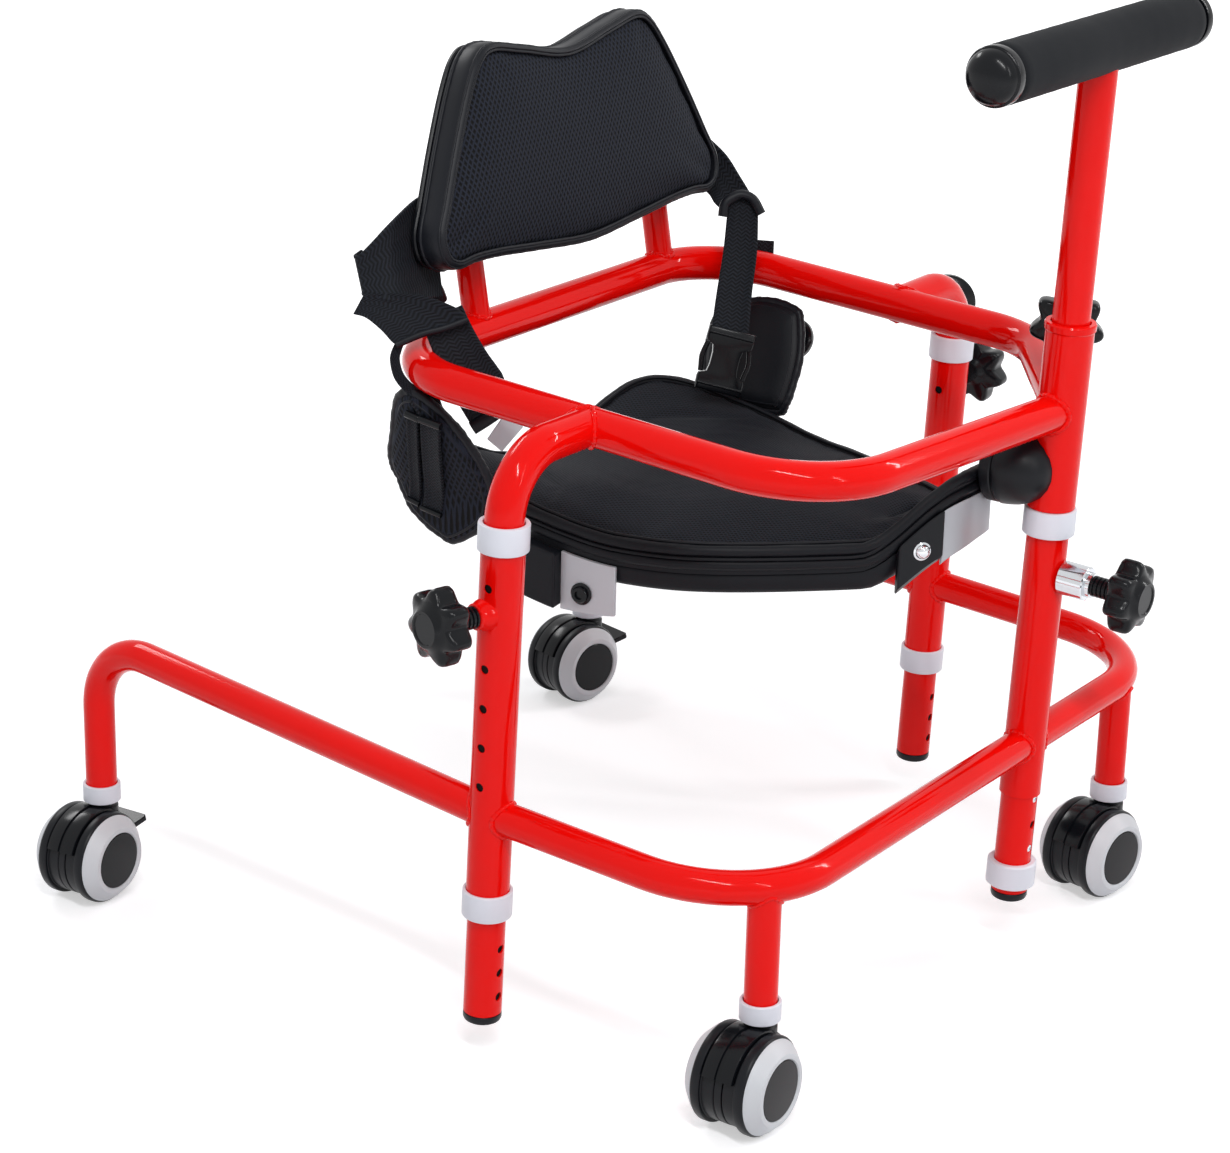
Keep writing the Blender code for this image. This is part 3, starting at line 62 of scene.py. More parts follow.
log = logging.getLogger("walker")
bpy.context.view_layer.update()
# The walker's own directions: to its far side, to its back, and up.
ACROSS, BACKWARDS, UP = (Vector(axis) for axis in ((1.0, 0.0, 0.0), (0.0, 1.0, 0.0), (0.0, 0.0, 1.0)))
# How pads are filled: the remesh size in metres, the air pressure and the frames of the simulation.
PAD_VOXEL, PAD_PRESSURE, PAD_FRAMES = 0.005, 4.0, 20


class Side(Enum):
    """A side of the walker, with its sign along X."""

    NEAR = -1
    FAR = 1

    @property
    def label(self) -> str:
        """The side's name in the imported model."""
        return self.name.lower()


class Body(Enum):
    """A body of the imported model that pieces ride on."""

    BASE = "base"
    RING = "ring"
    HANDLE = "handle"
    BACKREST = "backrest"


def linear(hex_colour: str) -> tuple[float, float, float, float]:
    """Turns an sRGB hex colour to linear light.

    Args:
        hex_colour: Six hex digits, red first.

    Returns:
        Red, green, blue and alpha from 0 to 1.
    """
    parts = [int(hex_colour[i:i + 2], 16) / 255 for i in (0, 2, 4)]
    red, green, blue = (((c + 0.055) / 1.055) ** 2.4 if c > 0.04045 else c / 12.92 for c in parts)
    return red, green, blue, 1.0


def add_node(tree: NodeTree, kind: str, inputs: dict | None = None, **settings: object) -> Node:
    """Adds a shader node with its settings, socket values and links.

    Args:
        tree: The node tree.
        kind: The node's type name after ShaderNode.
        inputs: Values or sockets by input name or number.
        settings: Properties of the node.

    Returns:
        The new node.
    """
    node = tree.nodes.new(f"ShaderNode{kind}")
    for key, value in settings.items():
        setattr(node, key, value)
    for key, value in (inputs or {}).items():
        if isinstance(value, NodeSocket):
            tree.links.new(value, node.inputs[key])
        else:
            node.inputs[key].default_value = value
    return node


@dataclass(frozen=True)
class Finish:
    """A surface finish: what the real material is and how it was made."""

    name: str
    colour: str
    roughness: float
    slot: str
    metallic: float = 0.0
    sheen: float = 0.0
    specular: float = 0.5
    grain_mm: float = 1.5
    depth_mm: float = 0.02
    tint: float = 0.04

    def make(self) -> Material:
        """Builds the material once.

        Returns:
            The Blender material of this finish.
        """
        found = bpy.data.materials.get(self.name)
        if found:
            return found
        material = bpy.data.materials.new(self.name)
        material.use_nodes = True
        tree = material.node_tree
        shader = tree.nodes["Principled BSDF"]
        values = {"Base Color": linear(self.colour), "Roughness": self.roughness, "Metallic": self.metallic,
                  "Sheen Weight": self.sheen, "Sheen Roughness": 0.4, "Specular IOR Level": self.specular}
        for socket, value in values.items():
            shader.inputs[socket].default_value = value
        self.pattern(tree, shader)
        return material

    def shade(self, tree: NodeTree, shader: Node, factor: NodeSocket,
              low: float, high: float) -> None:
        """Lets a pattern darken and lighten the base colour.

        Args:
            tree: The node tree.
            shader: The Principled shader.
            factor: The pattern, from 0 to 1.
            low: Brightness where the pattern is 0.
            high: Brightness where the pattern is 1.
        """
        base = linear(self.colour)[:3]
        dark, light = ((*(min(1.0, c * share) for c in base), 1.0) for share in (low, high))
        mix = add_node(tree, "Mix", {0: factor, 6: dark, 7: light}, data_type="RGBA")
        tree.links.new(mix.outputs[2], shader.inputs["Base Color"])

    def relief(self, tree: NodeTree, shader: Node, height: NodeSocket) -> None:
        """Lets a pattern raise the surface by the finish's depth."""
        bump = add_node(tree, "Bump", {"Height": height, "Distance": self.depth_mm / 1000, "Strength": 1.0})
        tree.links.new(bump.outputs["Normal"], shader.inputs["Normal"])

    def pattern(self, tree: NodeTree, shader: Node) -> None:
        """Adds a fine grain and a faint drift of tone, as on moulded or painted surfaces."""
        spot = add_node(tree, "TexCoord").outputs["Object"]
        fine = add_node(tree, "TexNoise", {"Vector": spot, "Scale": 1000 / self.grain_mm, "Detail": 2.0})
        broad = add_node(tree, "TexNoise", {"Vector": spot, "Scale": 14.0, "Detail": 3.0}).outputs["Fac"]
        self.relief(tree, shader, fine.outputs["Fac"])
        self.shade(tree, shader, broad, 1 - self.tint, 1 + self.tint)
        rough = add_node(tree, "MapRange", {"Value": broad, "To Min": self.roughness * 0.85,
                                            "To Max": self.roughness * 1.15})
        tree.links.new(rough.outputs["Result"], shader.inputs["Roughness"])


@dataclass(frozen=True)
class SpacerMesh(Finish):
    """Warp-knitted spacer mesh: rows of lozenge holes between raised threads."""

    pitch_mm: float = 3.4
    tilt: float = 0.0
    flat: bool = False
    slant: float = 33.0

    def pattern(self, tree: NodeTree, shader: Node) -> None:
        """Crosses two slanted sets of threads, so that lozenge holes stay between them."""
        spot = add_node(tree, "TexCoord").outputs["Object"]
        waves = []
        for angle in (radians(self.slant), radians(-self.slant)):
            turn = (0.0, 0.0, angle) if self.flat else (radians(self.tilt), angle, 0.0)
            turned_spot = add_node(tree, "Mapping", {"Vector": spot, "Rotation": turn}).outputs["Vector"]
            wave = {"Vector": turned_spot, "Scale": 1000 / self.pitch_mm / 6.2832 * 2, "Distortion": 0.6,
                    "Detail": 1.0, "Detail Scale": 2.0}
            waves.append(add_node(tree, "TexWave", wave, bands_direction="X").outputs["Fac"])
        weave = add_node(tree, "Math", {0: waves[0], 1: waves[1]}, operation="MAXIMUM").outputs[0]
        fuzz = add_node(tree, "TexNoise", {"Vector": spot, "Scale": 1600.0, "Detail": 3.0}).outputs["Fac"]
        height = add_node(tree, "Math", {0: fuzz, 1: 0.35, 2: weave}, operation="MULTIPLY_ADD")
        self.relief(tree, shader, height.outputs[0])
        thread = add_node(tree, "MapRange", {"Value": weave, "From Min": 0.45, "From Max": 0.92})
        self.shade(tree, shader, thread.outputs["Result"], 0.08, 2.1)


@dataclass(frozen=True)
class Webbing(Finish):
    """Woven polyester webbing with chevron ribs along the strap."""

    rib_mm: float = 2.8

    def pattern(self, tree: NodeTree, shader: Node) -> None:
        """Draws the ribs on the strap's own UV map, in metres along U and from 0 to 1 across V."""
        place = add_node(tree, "UVMap", uv_map="strap").outputs["UV"]
        parts = add_node(tree, "SeparateXYZ", {"Vector": place})
        fold = add_node(tree, "Math", {0: parts.outputs["Y"], 1: 0.125}, operation="PINGPONG").outputs[0]
        lean = add_node(tree, "Math", {0: fold, 1: 0.02, 2: parts.outputs["X"]}, operation="MULTIPLY_ADD")
        phase = add_node(tree, "Math", {0: lean.outputs[0], 1: 2000 * pi / self.rib_mm}, operation="MULTIPLY")
        wave = add_node(tree, "Math", {0: phase.outputs[0]}, operation="SINE").outputs[0]
        rib = add_node(tree, "MapRange", {"Value": wave, "From Min": -1.0, "From Max": 1.0}).outputs["Result"]
        spot = add_node(tree, "TexCoord").outputs["Object"]
        fuzz = add_node(tree, "TexNoise", {"Vector": spot, "Scale": 1500.0}).outputs["Fac"]
        height = add_node(tree, "Math", {0: fuzz, 1: 0.4, 2: rib}, operation="MULTIPLY_ADD")
        self.relief(tree, shader, height.outputs[0])
        self.shade(tree, shader, rib, 0.3, 1.9)


@dataclass(frozen=True)
class Vinyl(Finish):
    """Calendered vinyl with a pressed leather grain."""

    def pattern(self, tree: NodeTree, shader: Node) -> None:
        """Uses small rounded cells for the grain."""
        spot = add_node(tree, "TexCoord").outputs["Object"]
        grain = {"Vector": spot, "Scale": 1000 / self.grain_mm}
        cells = add_node(tree, "TexVoronoi", grain, feature="SMOOTH_F1")
        broad = add_node(tree, "TexNoise", {"Vector": spot, "Scale": 30.0})
        self.relief(tree, shader, cells.outputs["Distance"])
        self.shade(tree, shader, broad.outputs["Fac"], 0.8, 1.2)


# Gloss powder coat: a smooth, slightly rippled film that mirrors the lights softly.
RED = Finish("powder_coat_red_gloss", "F20A05", 0.09, "red_powder_coat", specular=0.14, grain_mm=2.2,
             depth_mm=0.003, tint=0.03)
# Injection-moulded white nylon: milky, with a soft highlight.
WHITE = Finish("nylon_moulded_white", "E4E6F0", 0.38, "white_nylon", grain_mm=0.9, depth_mm=0.008, tint=0.03)
# Glass-filled nylon, moulded black: bright round highlights on the lobes.
BLACK = Finish("nylon_moulded_black", "0E1014", 0.2, "black_nylon", specular=0.2, grain_mm=0.9,
               depth_mm=0.006, tint=0.15)
# The same nylon from a spark-eroded mould: fine texture, so that highlights spread.
SATIN = Finish("nylon_moulded_black_satin", "101217", 0.36, "black_nylon", specular=0.2, grain_mm=0.8,
               depth_mm=0.02, tint=0.15)
# Thermoplastic rubber on the wheel's bevel: pale grey and matte.
RIM = Finish("rubber_moulded_grey", "D0D3D8", 0.45, "black_nylon", grain_mm=0.8, depth_mm=0.01, tint=0.05)
# Chromed steel hardware: sharp reflections.
CHROME = Finish("steel_chromed", "D3D6DA", 0.13, "chromed_steel", metallic=1.0, grain_mm=2.0, depth_mm=0.0003)
# Painted steel plates: even satin grey.
GREY = Finish("steel_painted_grey", "B6BAC0", 0.42, "grey_painted_steel", metallic=0.25, grain_mm=0.7,
              depth_mm=0.006)
# Closed-cell foam of the grip: matte with fine pores.
FOAM = Finish("foam_extruded_black", "15171B", 0.85, "black_foam", sheen=0.03, specular=0.2, grain_mm=0.5,
              depth_mm=0.06, tint=0.12)
# Painted shade: a near-black colour for discs set inside the drilled holes, standing for the unlit inside of
# each hole that no light reaches.
HOLE_SHADE = Finish("painted_shade_in_holes", "0B0505", 0.7, "red_powder_coat", specular=0.1, grain_mm=1.0,
              depth_mm=0.004)
# Knitted polyester over foam: raised threads round dark lozenge holes, drawn coarse enough to show.
MESH_BACK = SpacerMesh("polyester_spacer_mesh_back", "14171F", 0.7, "black_mesh_fabric", sheen=0.02,
                       specular=0.12, depth_mm=0.45, tilt=10.0)
MESH_SEAT = SpacerMesh("polyester_spacer_mesh_seat", "12151B", 0.75, "black_mesh_fabric", sheen=0.02,
                       specular=0.12, depth_mm=0.3, flat=True, pitch_mm=2.4)
MESH_WING = SpacerMesh("polyester_spacer_mesh_wing", "14171F", 0.72, "black_vinyl", sheen=0.02,
                       specular=0.12, depth_mm=0.3, pitch_mm=2.6, tilt=90.0)
# Woven polyester tape: chevron ribs, matte.
WEBBING = Webbing("polyester_webbing_black", "14171D", 0.66, "black_webbing", sheen=0.02, specular=0.15,
                  depth_mm=0.3)
# Calendered vinyl with a pressed grain: a soft sheen on rolls, bindings and the far wing.
TRIM = Vinyl("vinyl_binding_black", "14161C", 0.42, "black_vinyl", specular=0.18, grain_mm=0.8, depth_mm=0.03)
VINYL = Vinyl("vinyl_leather_black", "13151A", 0.46, "black_vinyl", specular=0.16, grain_mm=1.1, depth_mm=0.05)


def pick(obj: Object) -> None:
    """Makes one object the only selected and the active one."""
    bpy.ops.object.select_all(action="DESELECT")
    obj.select_set(True)
    bpy.context.view_layer.objects.active = obj


def refine(obj: Object, kind: str, **settings: object) -> Object:
    """Adds a modifier and applies it.

    Args:
        obj: The object.
        kind: The modifier's type.
        settings: Its properties.

    Returns:
        The same object.
    """
    pick(obj)
    modifier = obj.modifiers.new(kind.lower(), kind)
    for key, value in settings.items():
        setattr(modifier, key, value)
    bpy.ops.object.modifier_apply(modifier=modifier.name)
    return obj


def smooth(obj: Object, angle: float = 35.0) -> Object:
    """Shades an object smooth except at edges sharper than an angle in degrees."""
    pick(obj)
    bpy.ops.object.shade_smooth_by_angle(angle=radians(angle))
    return obj


def tidy_mesh(obj: Object) -> Object:
    """Merges doubles, drops loose edges and turns the faces outwards."""
    pick(obj)
    bpy.ops.object.mode_set(mode="EDIT")
    bpy.ops.mesh.select_all(action="SELECT")
    bpy.ops.mesh.remove_doubles(threshold=1e-6)
    bpy.ops.mesh.dissolve_degenerate(threshold=1e-6)
    bpy.ops.mesh.delete_loose()
    bpy.ops.mesh.select_all(action="SELECT")
    bpy.ops.mesh.normals_make_consistent(inside=False)
    bpy.ops.object.mode_set(mode="OBJECT")
    return obj


def turned(name: str, profile: Profile, place: Matrix, steps: int = 64,
           angle: float = 2 * pi) -> Object:
    """Spins a closed profile of (radius, height) round local Z.

    Args:
        name: The piece's name.
        profile: The profile's corners in order.
        place: Where local Z and its origin go.
        steps: Faces round the turn.
        angle: How far the spin goes.

    Returns:
        The turned object.
    """
    bpy.ops.object.select_all(action="DESELECT")
    bpy.ops.mesh.primitive_circle_add(vertices=len(profile), fill_type="NGON" if angle < 6.28 else "NOTHING")
    obj = bpy.context.object
    obj.name = name
    for vert, (radius, height) in zip(obj.data.vertices, profile):
        vert.co = (radius, 0.0, height)
    bpy.ops.object.mode_set(mode="EDIT")
    bpy.ops.mesh.select_all(action="SELECT")
    bpy.ops.mesh.spin(steps=steps, angle=angle, center=(0.0, 0.0, 0.0), axis=(0.0, 0.0, 1.0))
    bpy.ops.object.mode_set(mode="OBJECT")
    obj.data.transform(place)
    return smooth(tidy_mesh(obj), 32.0)


def disc(name: str, centre: Vector, out: Vector, reach: float, radius: float) -> Object:
    """A thin disc inside a drilled hole, at a reach from a tube's centre along a direction, that carries the
    painted shade of the hole's unlit inside.
    """
    place = frame_at(centre + out * reach, out)
    return turned(name, [(0.0, -0.0005), (radius, -0.0005), (radius, 0.0), (0.0, 0.0)], place, 24)


def skin(name: str, rings: Sequence[Sequence[Vector]], angle: float = 50.0, loop: bool = False) -> Object:
    """Extrudes a ring of points through a row of rings.

    Args:
        name: The piece's name.
        rings: Rings with equal counts of points.
        angle: Edges sharper than this stay sharp, in degrees.
        loop: Whether the last ring runs back into the first; otherwise both ends are closed.

    Returns:
        The closed object.
    """
    if loop:
        rings = [*rings, rings[0]]
    bpy.ops.object.select_all(action="DESELECT")
    bpy.ops.mesh.primitive_circle_add(vertices=len(rings[0]), fill_type="NOTHING" if loop else "NGON")
    obj = bpy.context.object
    obj.name = name
    for vert, point in zip(obj.data.vertices, rings[0]):
        vert.co = point
    bpy.ops.object.mode_set(mode="EDIT")
    bpy.ops.mesh.select_all(action="SELECT")
    places = {tuple(vert.co): i for i, vert in enumerate(bmesh.from_edit_mesh(obj.data).verts)}
    for ring in rings[1:]:
        bpy.ops.mesh.extrude_region_move()
        mesh = bmesh.from_edit_mesh(obj.data)
        for vert in mesh.verts:
            if vert.select:
                vert.co = ring[places[tuple(vert.co)]]
        places = {tuple(Vector(point)): i for i, point in enumerate(ring)}
        bmesh.update_edit_mesh(obj.data)
    bpy.ops.object.mode_set(mode="OBJECT")
    return smooth(tidy_mesh(obj), angle)


def tube(name: str, points: Sequence[Vector], radius: float, cyclic: bool = False,
         radii: Sequence[float] | None = None, resolution: int = 6) -> Object:
    """A round bar or bent tube along points, from a bevelled curve.

    Args:
        name: The piece's name.
        points: The centre line.
        radius: The outer radius.
        cyclic: Whether the line closes on itself.
        radii: Shares of the radius at each point.
        resolution: The bevel's resolution.

    Returns:
        The object as a mesh.
    """
    curve = bpy.data.curves.new(name, "CURVE")
    curve.dimensions = "3D"
    curve.bevel_depth = radius
    curve.bevel_resolution = resolution
    curve.use_fill_caps = True
    spline = curve.splines.new("POLY")
    spline.points.add(len(points) - 1)
    spline.use_cyclic_u = cyclic
    for i, (knot, point) in enumerate(zip(spline.points, points)):
        knot.co = (*point, 1.0)
        knot.radius = radii[i] if radii else 1.0
    obj = bpy.data.objects.new(name, curve)
    bpy.context.collection.objects.link(obj)
    pick(obj)
    bpy.ops.object.convert(target="MESH")
    return smooth(tidy_mesh(bpy.context.object), 50.0)


def join(name: str, pieces: Sequence[Object]) -> Object:
    """Joins pieces into one named object."""
    pick(pieces[0])
    for piece in pieces:
        piece.select_set(True)
    bpy.ops.object.join()
    pieces[0].name = name
    return pieces[0]


def cut(obj: Object, tool: Object) -> Object:
    """Cuts one object with another and drops the tool."""
    refine(obj, "BOOLEAN", object=tool, operation="DIFFERENCE", solver="EXACT")
    bpy.data.objects.remove(tool, do_unlink=True)
    return obj


@dataclass(frozen=True)
class Give:
    """Where webbing across the back rest's slide stays with the ring, and where it follows the pad."""

    ring: tuple[float, float, float]
    pad: tuple[float, float, float]


def dress(obj: Object, finish: Finish, hold: Body | Give | str, *nodes: str) -> Object:
    """Gives a piece its finish, its body, and the CAD nodes that it stands for.

    Args:
        obj: The piece, final in its place.
        finish: Its finish.
        hold: The body it rides on, or how it stretches from the ring to the back rest.
        nodes: CAD nodes that it replaces.

    Returns:
        The same piece.
    """
    obj.data.materials.clear()
    obj.data.materials.append(finish.make())
    if isinstance(hold, Give):
        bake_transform(obj)
    else:
        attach(obj, hold.value if isinstance(hold, Body) else hold)
    if nodes:
        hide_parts(*nodes)
    log.info("%s: %s on %s, %d faces", obj.name, finish.name, hold, len(obj.data.polygons))
    return obj


def frame_at(point: Vector, axis: Vector, towards: Sequence[float] = (1.0, 0.0, 0.0)) -> Matrix:
    """A placing whose local Z runs along an axis and whose local X leans to a vector.

    Args:
        point: The origin.
        axis: The direction of local Z.
        towards: A vector that local X leans to.

    Returns:
        The placing.
    """
    z = Vector(axis).normalized()
    x = Vector(towards) - z * Vector(towards).dot(z)
    if x.length < 1e-6:
        x = BACKWARDS - z * z.y
    x.normalize()
    matrix = Matrix((x, z.cross(x), z)).transposed().to_4x4()
    matrix.translation = Vector(point)
    return matrix


def fillet(corners: Points, radii: Sequence[float], steps: int = 18) -> list[Vector]:
    """Rounds the inner corners of a polyline by arcs.

    Args:
        corners: The polyline.
        radii: A radius for each inner corner.
        steps: Spans of each arc.

    Returns:
        The rounded polyline.
    """
    points = [Vector(corners[0])]
    for before, corner, after, radius in zip(corners, corners[1:], corners[2:], radii):
        before, corner, after = Vector(before), Vector(corner), Vector(after)
        u = (before - corner).normalized()
        v = (after - corner).normalized()
        half = u.angle(v) / 2
        centre = corner + (u + v).normalized() * radius / sin(half)
        first = corner + u * radius / tan(half) - centre
        last = corner + v * radius / tan(half) - centre
        sweep = pi - 2 * half
        for i in range(steps + 1):
            t = i / steps
            points.append(centre + (first * sin((1 - t) * sweep) + last * sin(t * sweep)) / sin(sweep))
    points.append(Vector(corners[-1]))
    return points


def flowing(knots: Points, per_span: int, closed: bool = False) -> list[Vector]:
    """Points of a smooth curve through knots.

    Args:
        knots: The knots.
        per_span: Points for each span.
        closed: Whether the curve closes.

    Returns:
        The curve's points.
    """
    line = [Vector(knot) for knot in knots]
    if closed:
        line = [line[-1], *line, line[0], line[1]]
    else:
        line = [2 * line[0] - line[1], *line, 2 * line[-1] - line[-2]]
    points = []
    for a, b, c, d in zip(line, line[1:], line[2:], line[3:]):
        for step in range(per_span):
            t = step / per_span
            points.append(0.5 * (2 * b + (c - a) * t + (2 * a - 5 * b + 4 * c - d) * t ** 2
                                 + (3 * b - a - 3 * c + d) * t ** 3))
    if not closed:
        points.append(line[-2])
    return points


def round_rings(place: Matrix, levels: Profile, count: int, lobes: int = 0,
                depths: Sequence[float] = ()) -> list[list[Vector]]:
    """Rings of points round local Z, with lobes where wanted.

    Args:
        place: Where local Z and its origin go.
        levels: The radius and height of each ring.
        count: Points of a ring.
        lobes: Lobes round a ring.
        depths: How deep the lobes are at each ring, as a share of the radius.

    Returns:
        The rings.
    """
    turns = [2 * pi * i / count for i in range(count)]
    rings = []
    for i, (radius, height) in enumerate(levels):
        depth = depths[i] if depths else 0.0
        reach = [radius * (1 - depth * (1 - cos(lobes * a))) for a in turns]
        rings.append([place @ Vector((r * cos(a), r * sin(a), height)) for r, a in zip(reach, turns)])
    return rings


def corded(name: str, path: Sequence[Vector], radius: float, waves: Profile = (),
           resolution: int = 2) -> Object:
    """A closed cord, roll or piping whose cover gathers slightly.

    Args:
        name: The piece's name.
        path: Its closed centre line.
        radius: Its radius.
        waves: Depth and pace of each set of gathers.
        resolution: The bevel's resolution.

    Returns:
        The cord.
    """
    shares = [1.0 + sum(depth * sin(k * pace) for depth, pace in waves) for k in range(len(path))]
    return tube(name, path, radius, cyclic=True, radii=shares, resolution=resolution)


def smooth_step(value: float) -> float:
    """Rises from 0 to 1 without a kink."""
    t = min(1.0, max(0.0, value))
    return t * t * (3 - 2 * t)


def weld_bead(name: str, inner: tuple[Vector, Vector, float], outer: tuple[Vector, Vector, float],
              size: float = 0.0017) -> Object:
    """A rippled weld bead where one tube runs into another.

    Args:
        name: The piece's name.
        inner: A point, a direction into the other tube and the radius of the tube that ends.
        outer: A point, a direction and the radius of the tube that it meets.
        size: The bead's radius.

    Returns:
        The bead.
    """
    start, along, radius = inner[0], inner[1].normalized(), inner[2]
    centre, axis, reach = outer[0], outer[1].normalized(), outer[2]
    place = frame_at(start, along)
    count = 96
    points, shares = [], []
    for i in range(count):
        a = 2 * pi * i / count
        origin = place @ Vector((radius * cos(a), radius * sin(a), 0.0))
        offset = (origin - centre) - axis * (origin - centre).dot(axis)
        run = along - axis * along.dot(axis)
        b = offset.dot(run)
        c = offset.length_squared - reach ** 2
        root = b * b - run.length_squared * c
        points.append(origin + along * ((-b - sqrt(max(root, 0.0))) / run.length_squared))
        shares.append(1.0 + 0.16 * sin(a * 22))
    return tube(name, points, size, cyclic=True, radii=shares, resolution=2)


@dataclass(frozen=True)
class Layout:
    """The shared sizes of the walker, as its CAD model has them."""

    guide_lean: float = 0.04
    frame_pitch: float = 0.06
    guide_mid: float = 0.182
    front_y: float = -0.2545
    front_z: float = 0.156
    leg_x: float = 0.272
    leg_y: float = -0.06
    mast_x: float = 0.067
    ring_z0: float = 0.4077
    ring_half: float = 0.187
    ring_rear_y: float = 0.0965
    ring_front_y: float = -0.2445
    boss_reach: float = 0.0205
    back_x: float = 0.022
    back_lean: float = 10.0
    seat_x: float = 0.002
    seat_y: float = -0.0545
    seat_z: float = 0.312
    seat_half: float = 0.14
    gap: float = 0.0003
    guide_radius: float = 0.014
    leg_span: tuple[float, float] = (0.1, 0.361)
    mast_top: float = 0.323
    mast_foot: float = 0.046
    leg_foot: float = 0.029
    leg_bend: float = 0.0415
    post_half: float = 0.108
    post_length: float = 0.135
    pommel_z: float = 0.352
    near_knob_z: float = 0.305
    near_knob_yaw: float = 165.0
    handle_knob_z: float = 0.436
    handle_knob_yaw: float = 29.0
    bend_knob_yaw: float = 40.0

    @property
    def axis(self) -> Vector:
        """The direction of the guide tubes, upwards."""
        return Vector((0.0, -self.guide_lean, 1.0)).normalized()

    def leg(self, side: Side, z: float) -> Vector:
        """A point on a leg's axis."""
        return Vector((side.value * self.leg_x, self.leg_y - self.guide_lean * (z - self.guide_mid), z))

    def mast(self, z: float) -> Vector:
        """A point on the mast's axis."""
        return Vector((self.mast_x, self.front_y - self.guide_lean * (z - self.front_z), z))

    def base_z(self, y: float) -> float:
        """Height of the base tube."""
        return self.front_z + self.frame_pitch * (y - self.front_y)

    def ring_z(self, y: float) -> float:
        """Height of the ring tube."""
        return self.ring_z0 + self.frame_pitch * y

    def back(self) -> Matrix:
        """The back rest's placing: local X across and local Z up its posts."""
        lean = radians(self.back_lean)
        foot = Vector((self.back_x, self.ring_rear_y, self.ring_z(self.ring_rear_y)))
        return frame_at(foot, Vector((0.0, sin(lean), cos(lean))))

    def knob_axis(self, yaw: float) -> Vector:
        """A direction square to the guide tubes."""
        flat = Vector((cos(radians(yaw)), sin(radians(yaw)), 0.0))
        return (flat - self.axis * flat.dot(self.axis)).normalized()

    def bend(self) -> Vector:
        """The place of the knob behind the far leg's bend, on its axis."""
        top = self.leg(Side.FAR, self.ring_z(self.leg_y))
        return top - Vector((self.leg_bend * 0.06, 0.0, self.leg_bend * 0.66))

    def seat_height(self, x: float, y: float) -> float:
        """Height of the saddle's upper side before its crown."""
        nose = smooth_step((self.seat_y - 0.127 - y) / 0.048)
        aside = abs(x - self.seat_x)
        rear = smooth_step((y - self.seat_y) / 0.12) * smooth_step((aside - 0.05) / 0.09)
        share = smooth_step(aside / (0.75 * self.seat_half))
        end = smooth_step((y - self.seat_y - 0.085) / 0.07) * (0.015 * share - 0.005 * (1 - share))
        return self.seat_z + 0.045 * nose + 0.016 * rear + end


LAYOUT = Layout()


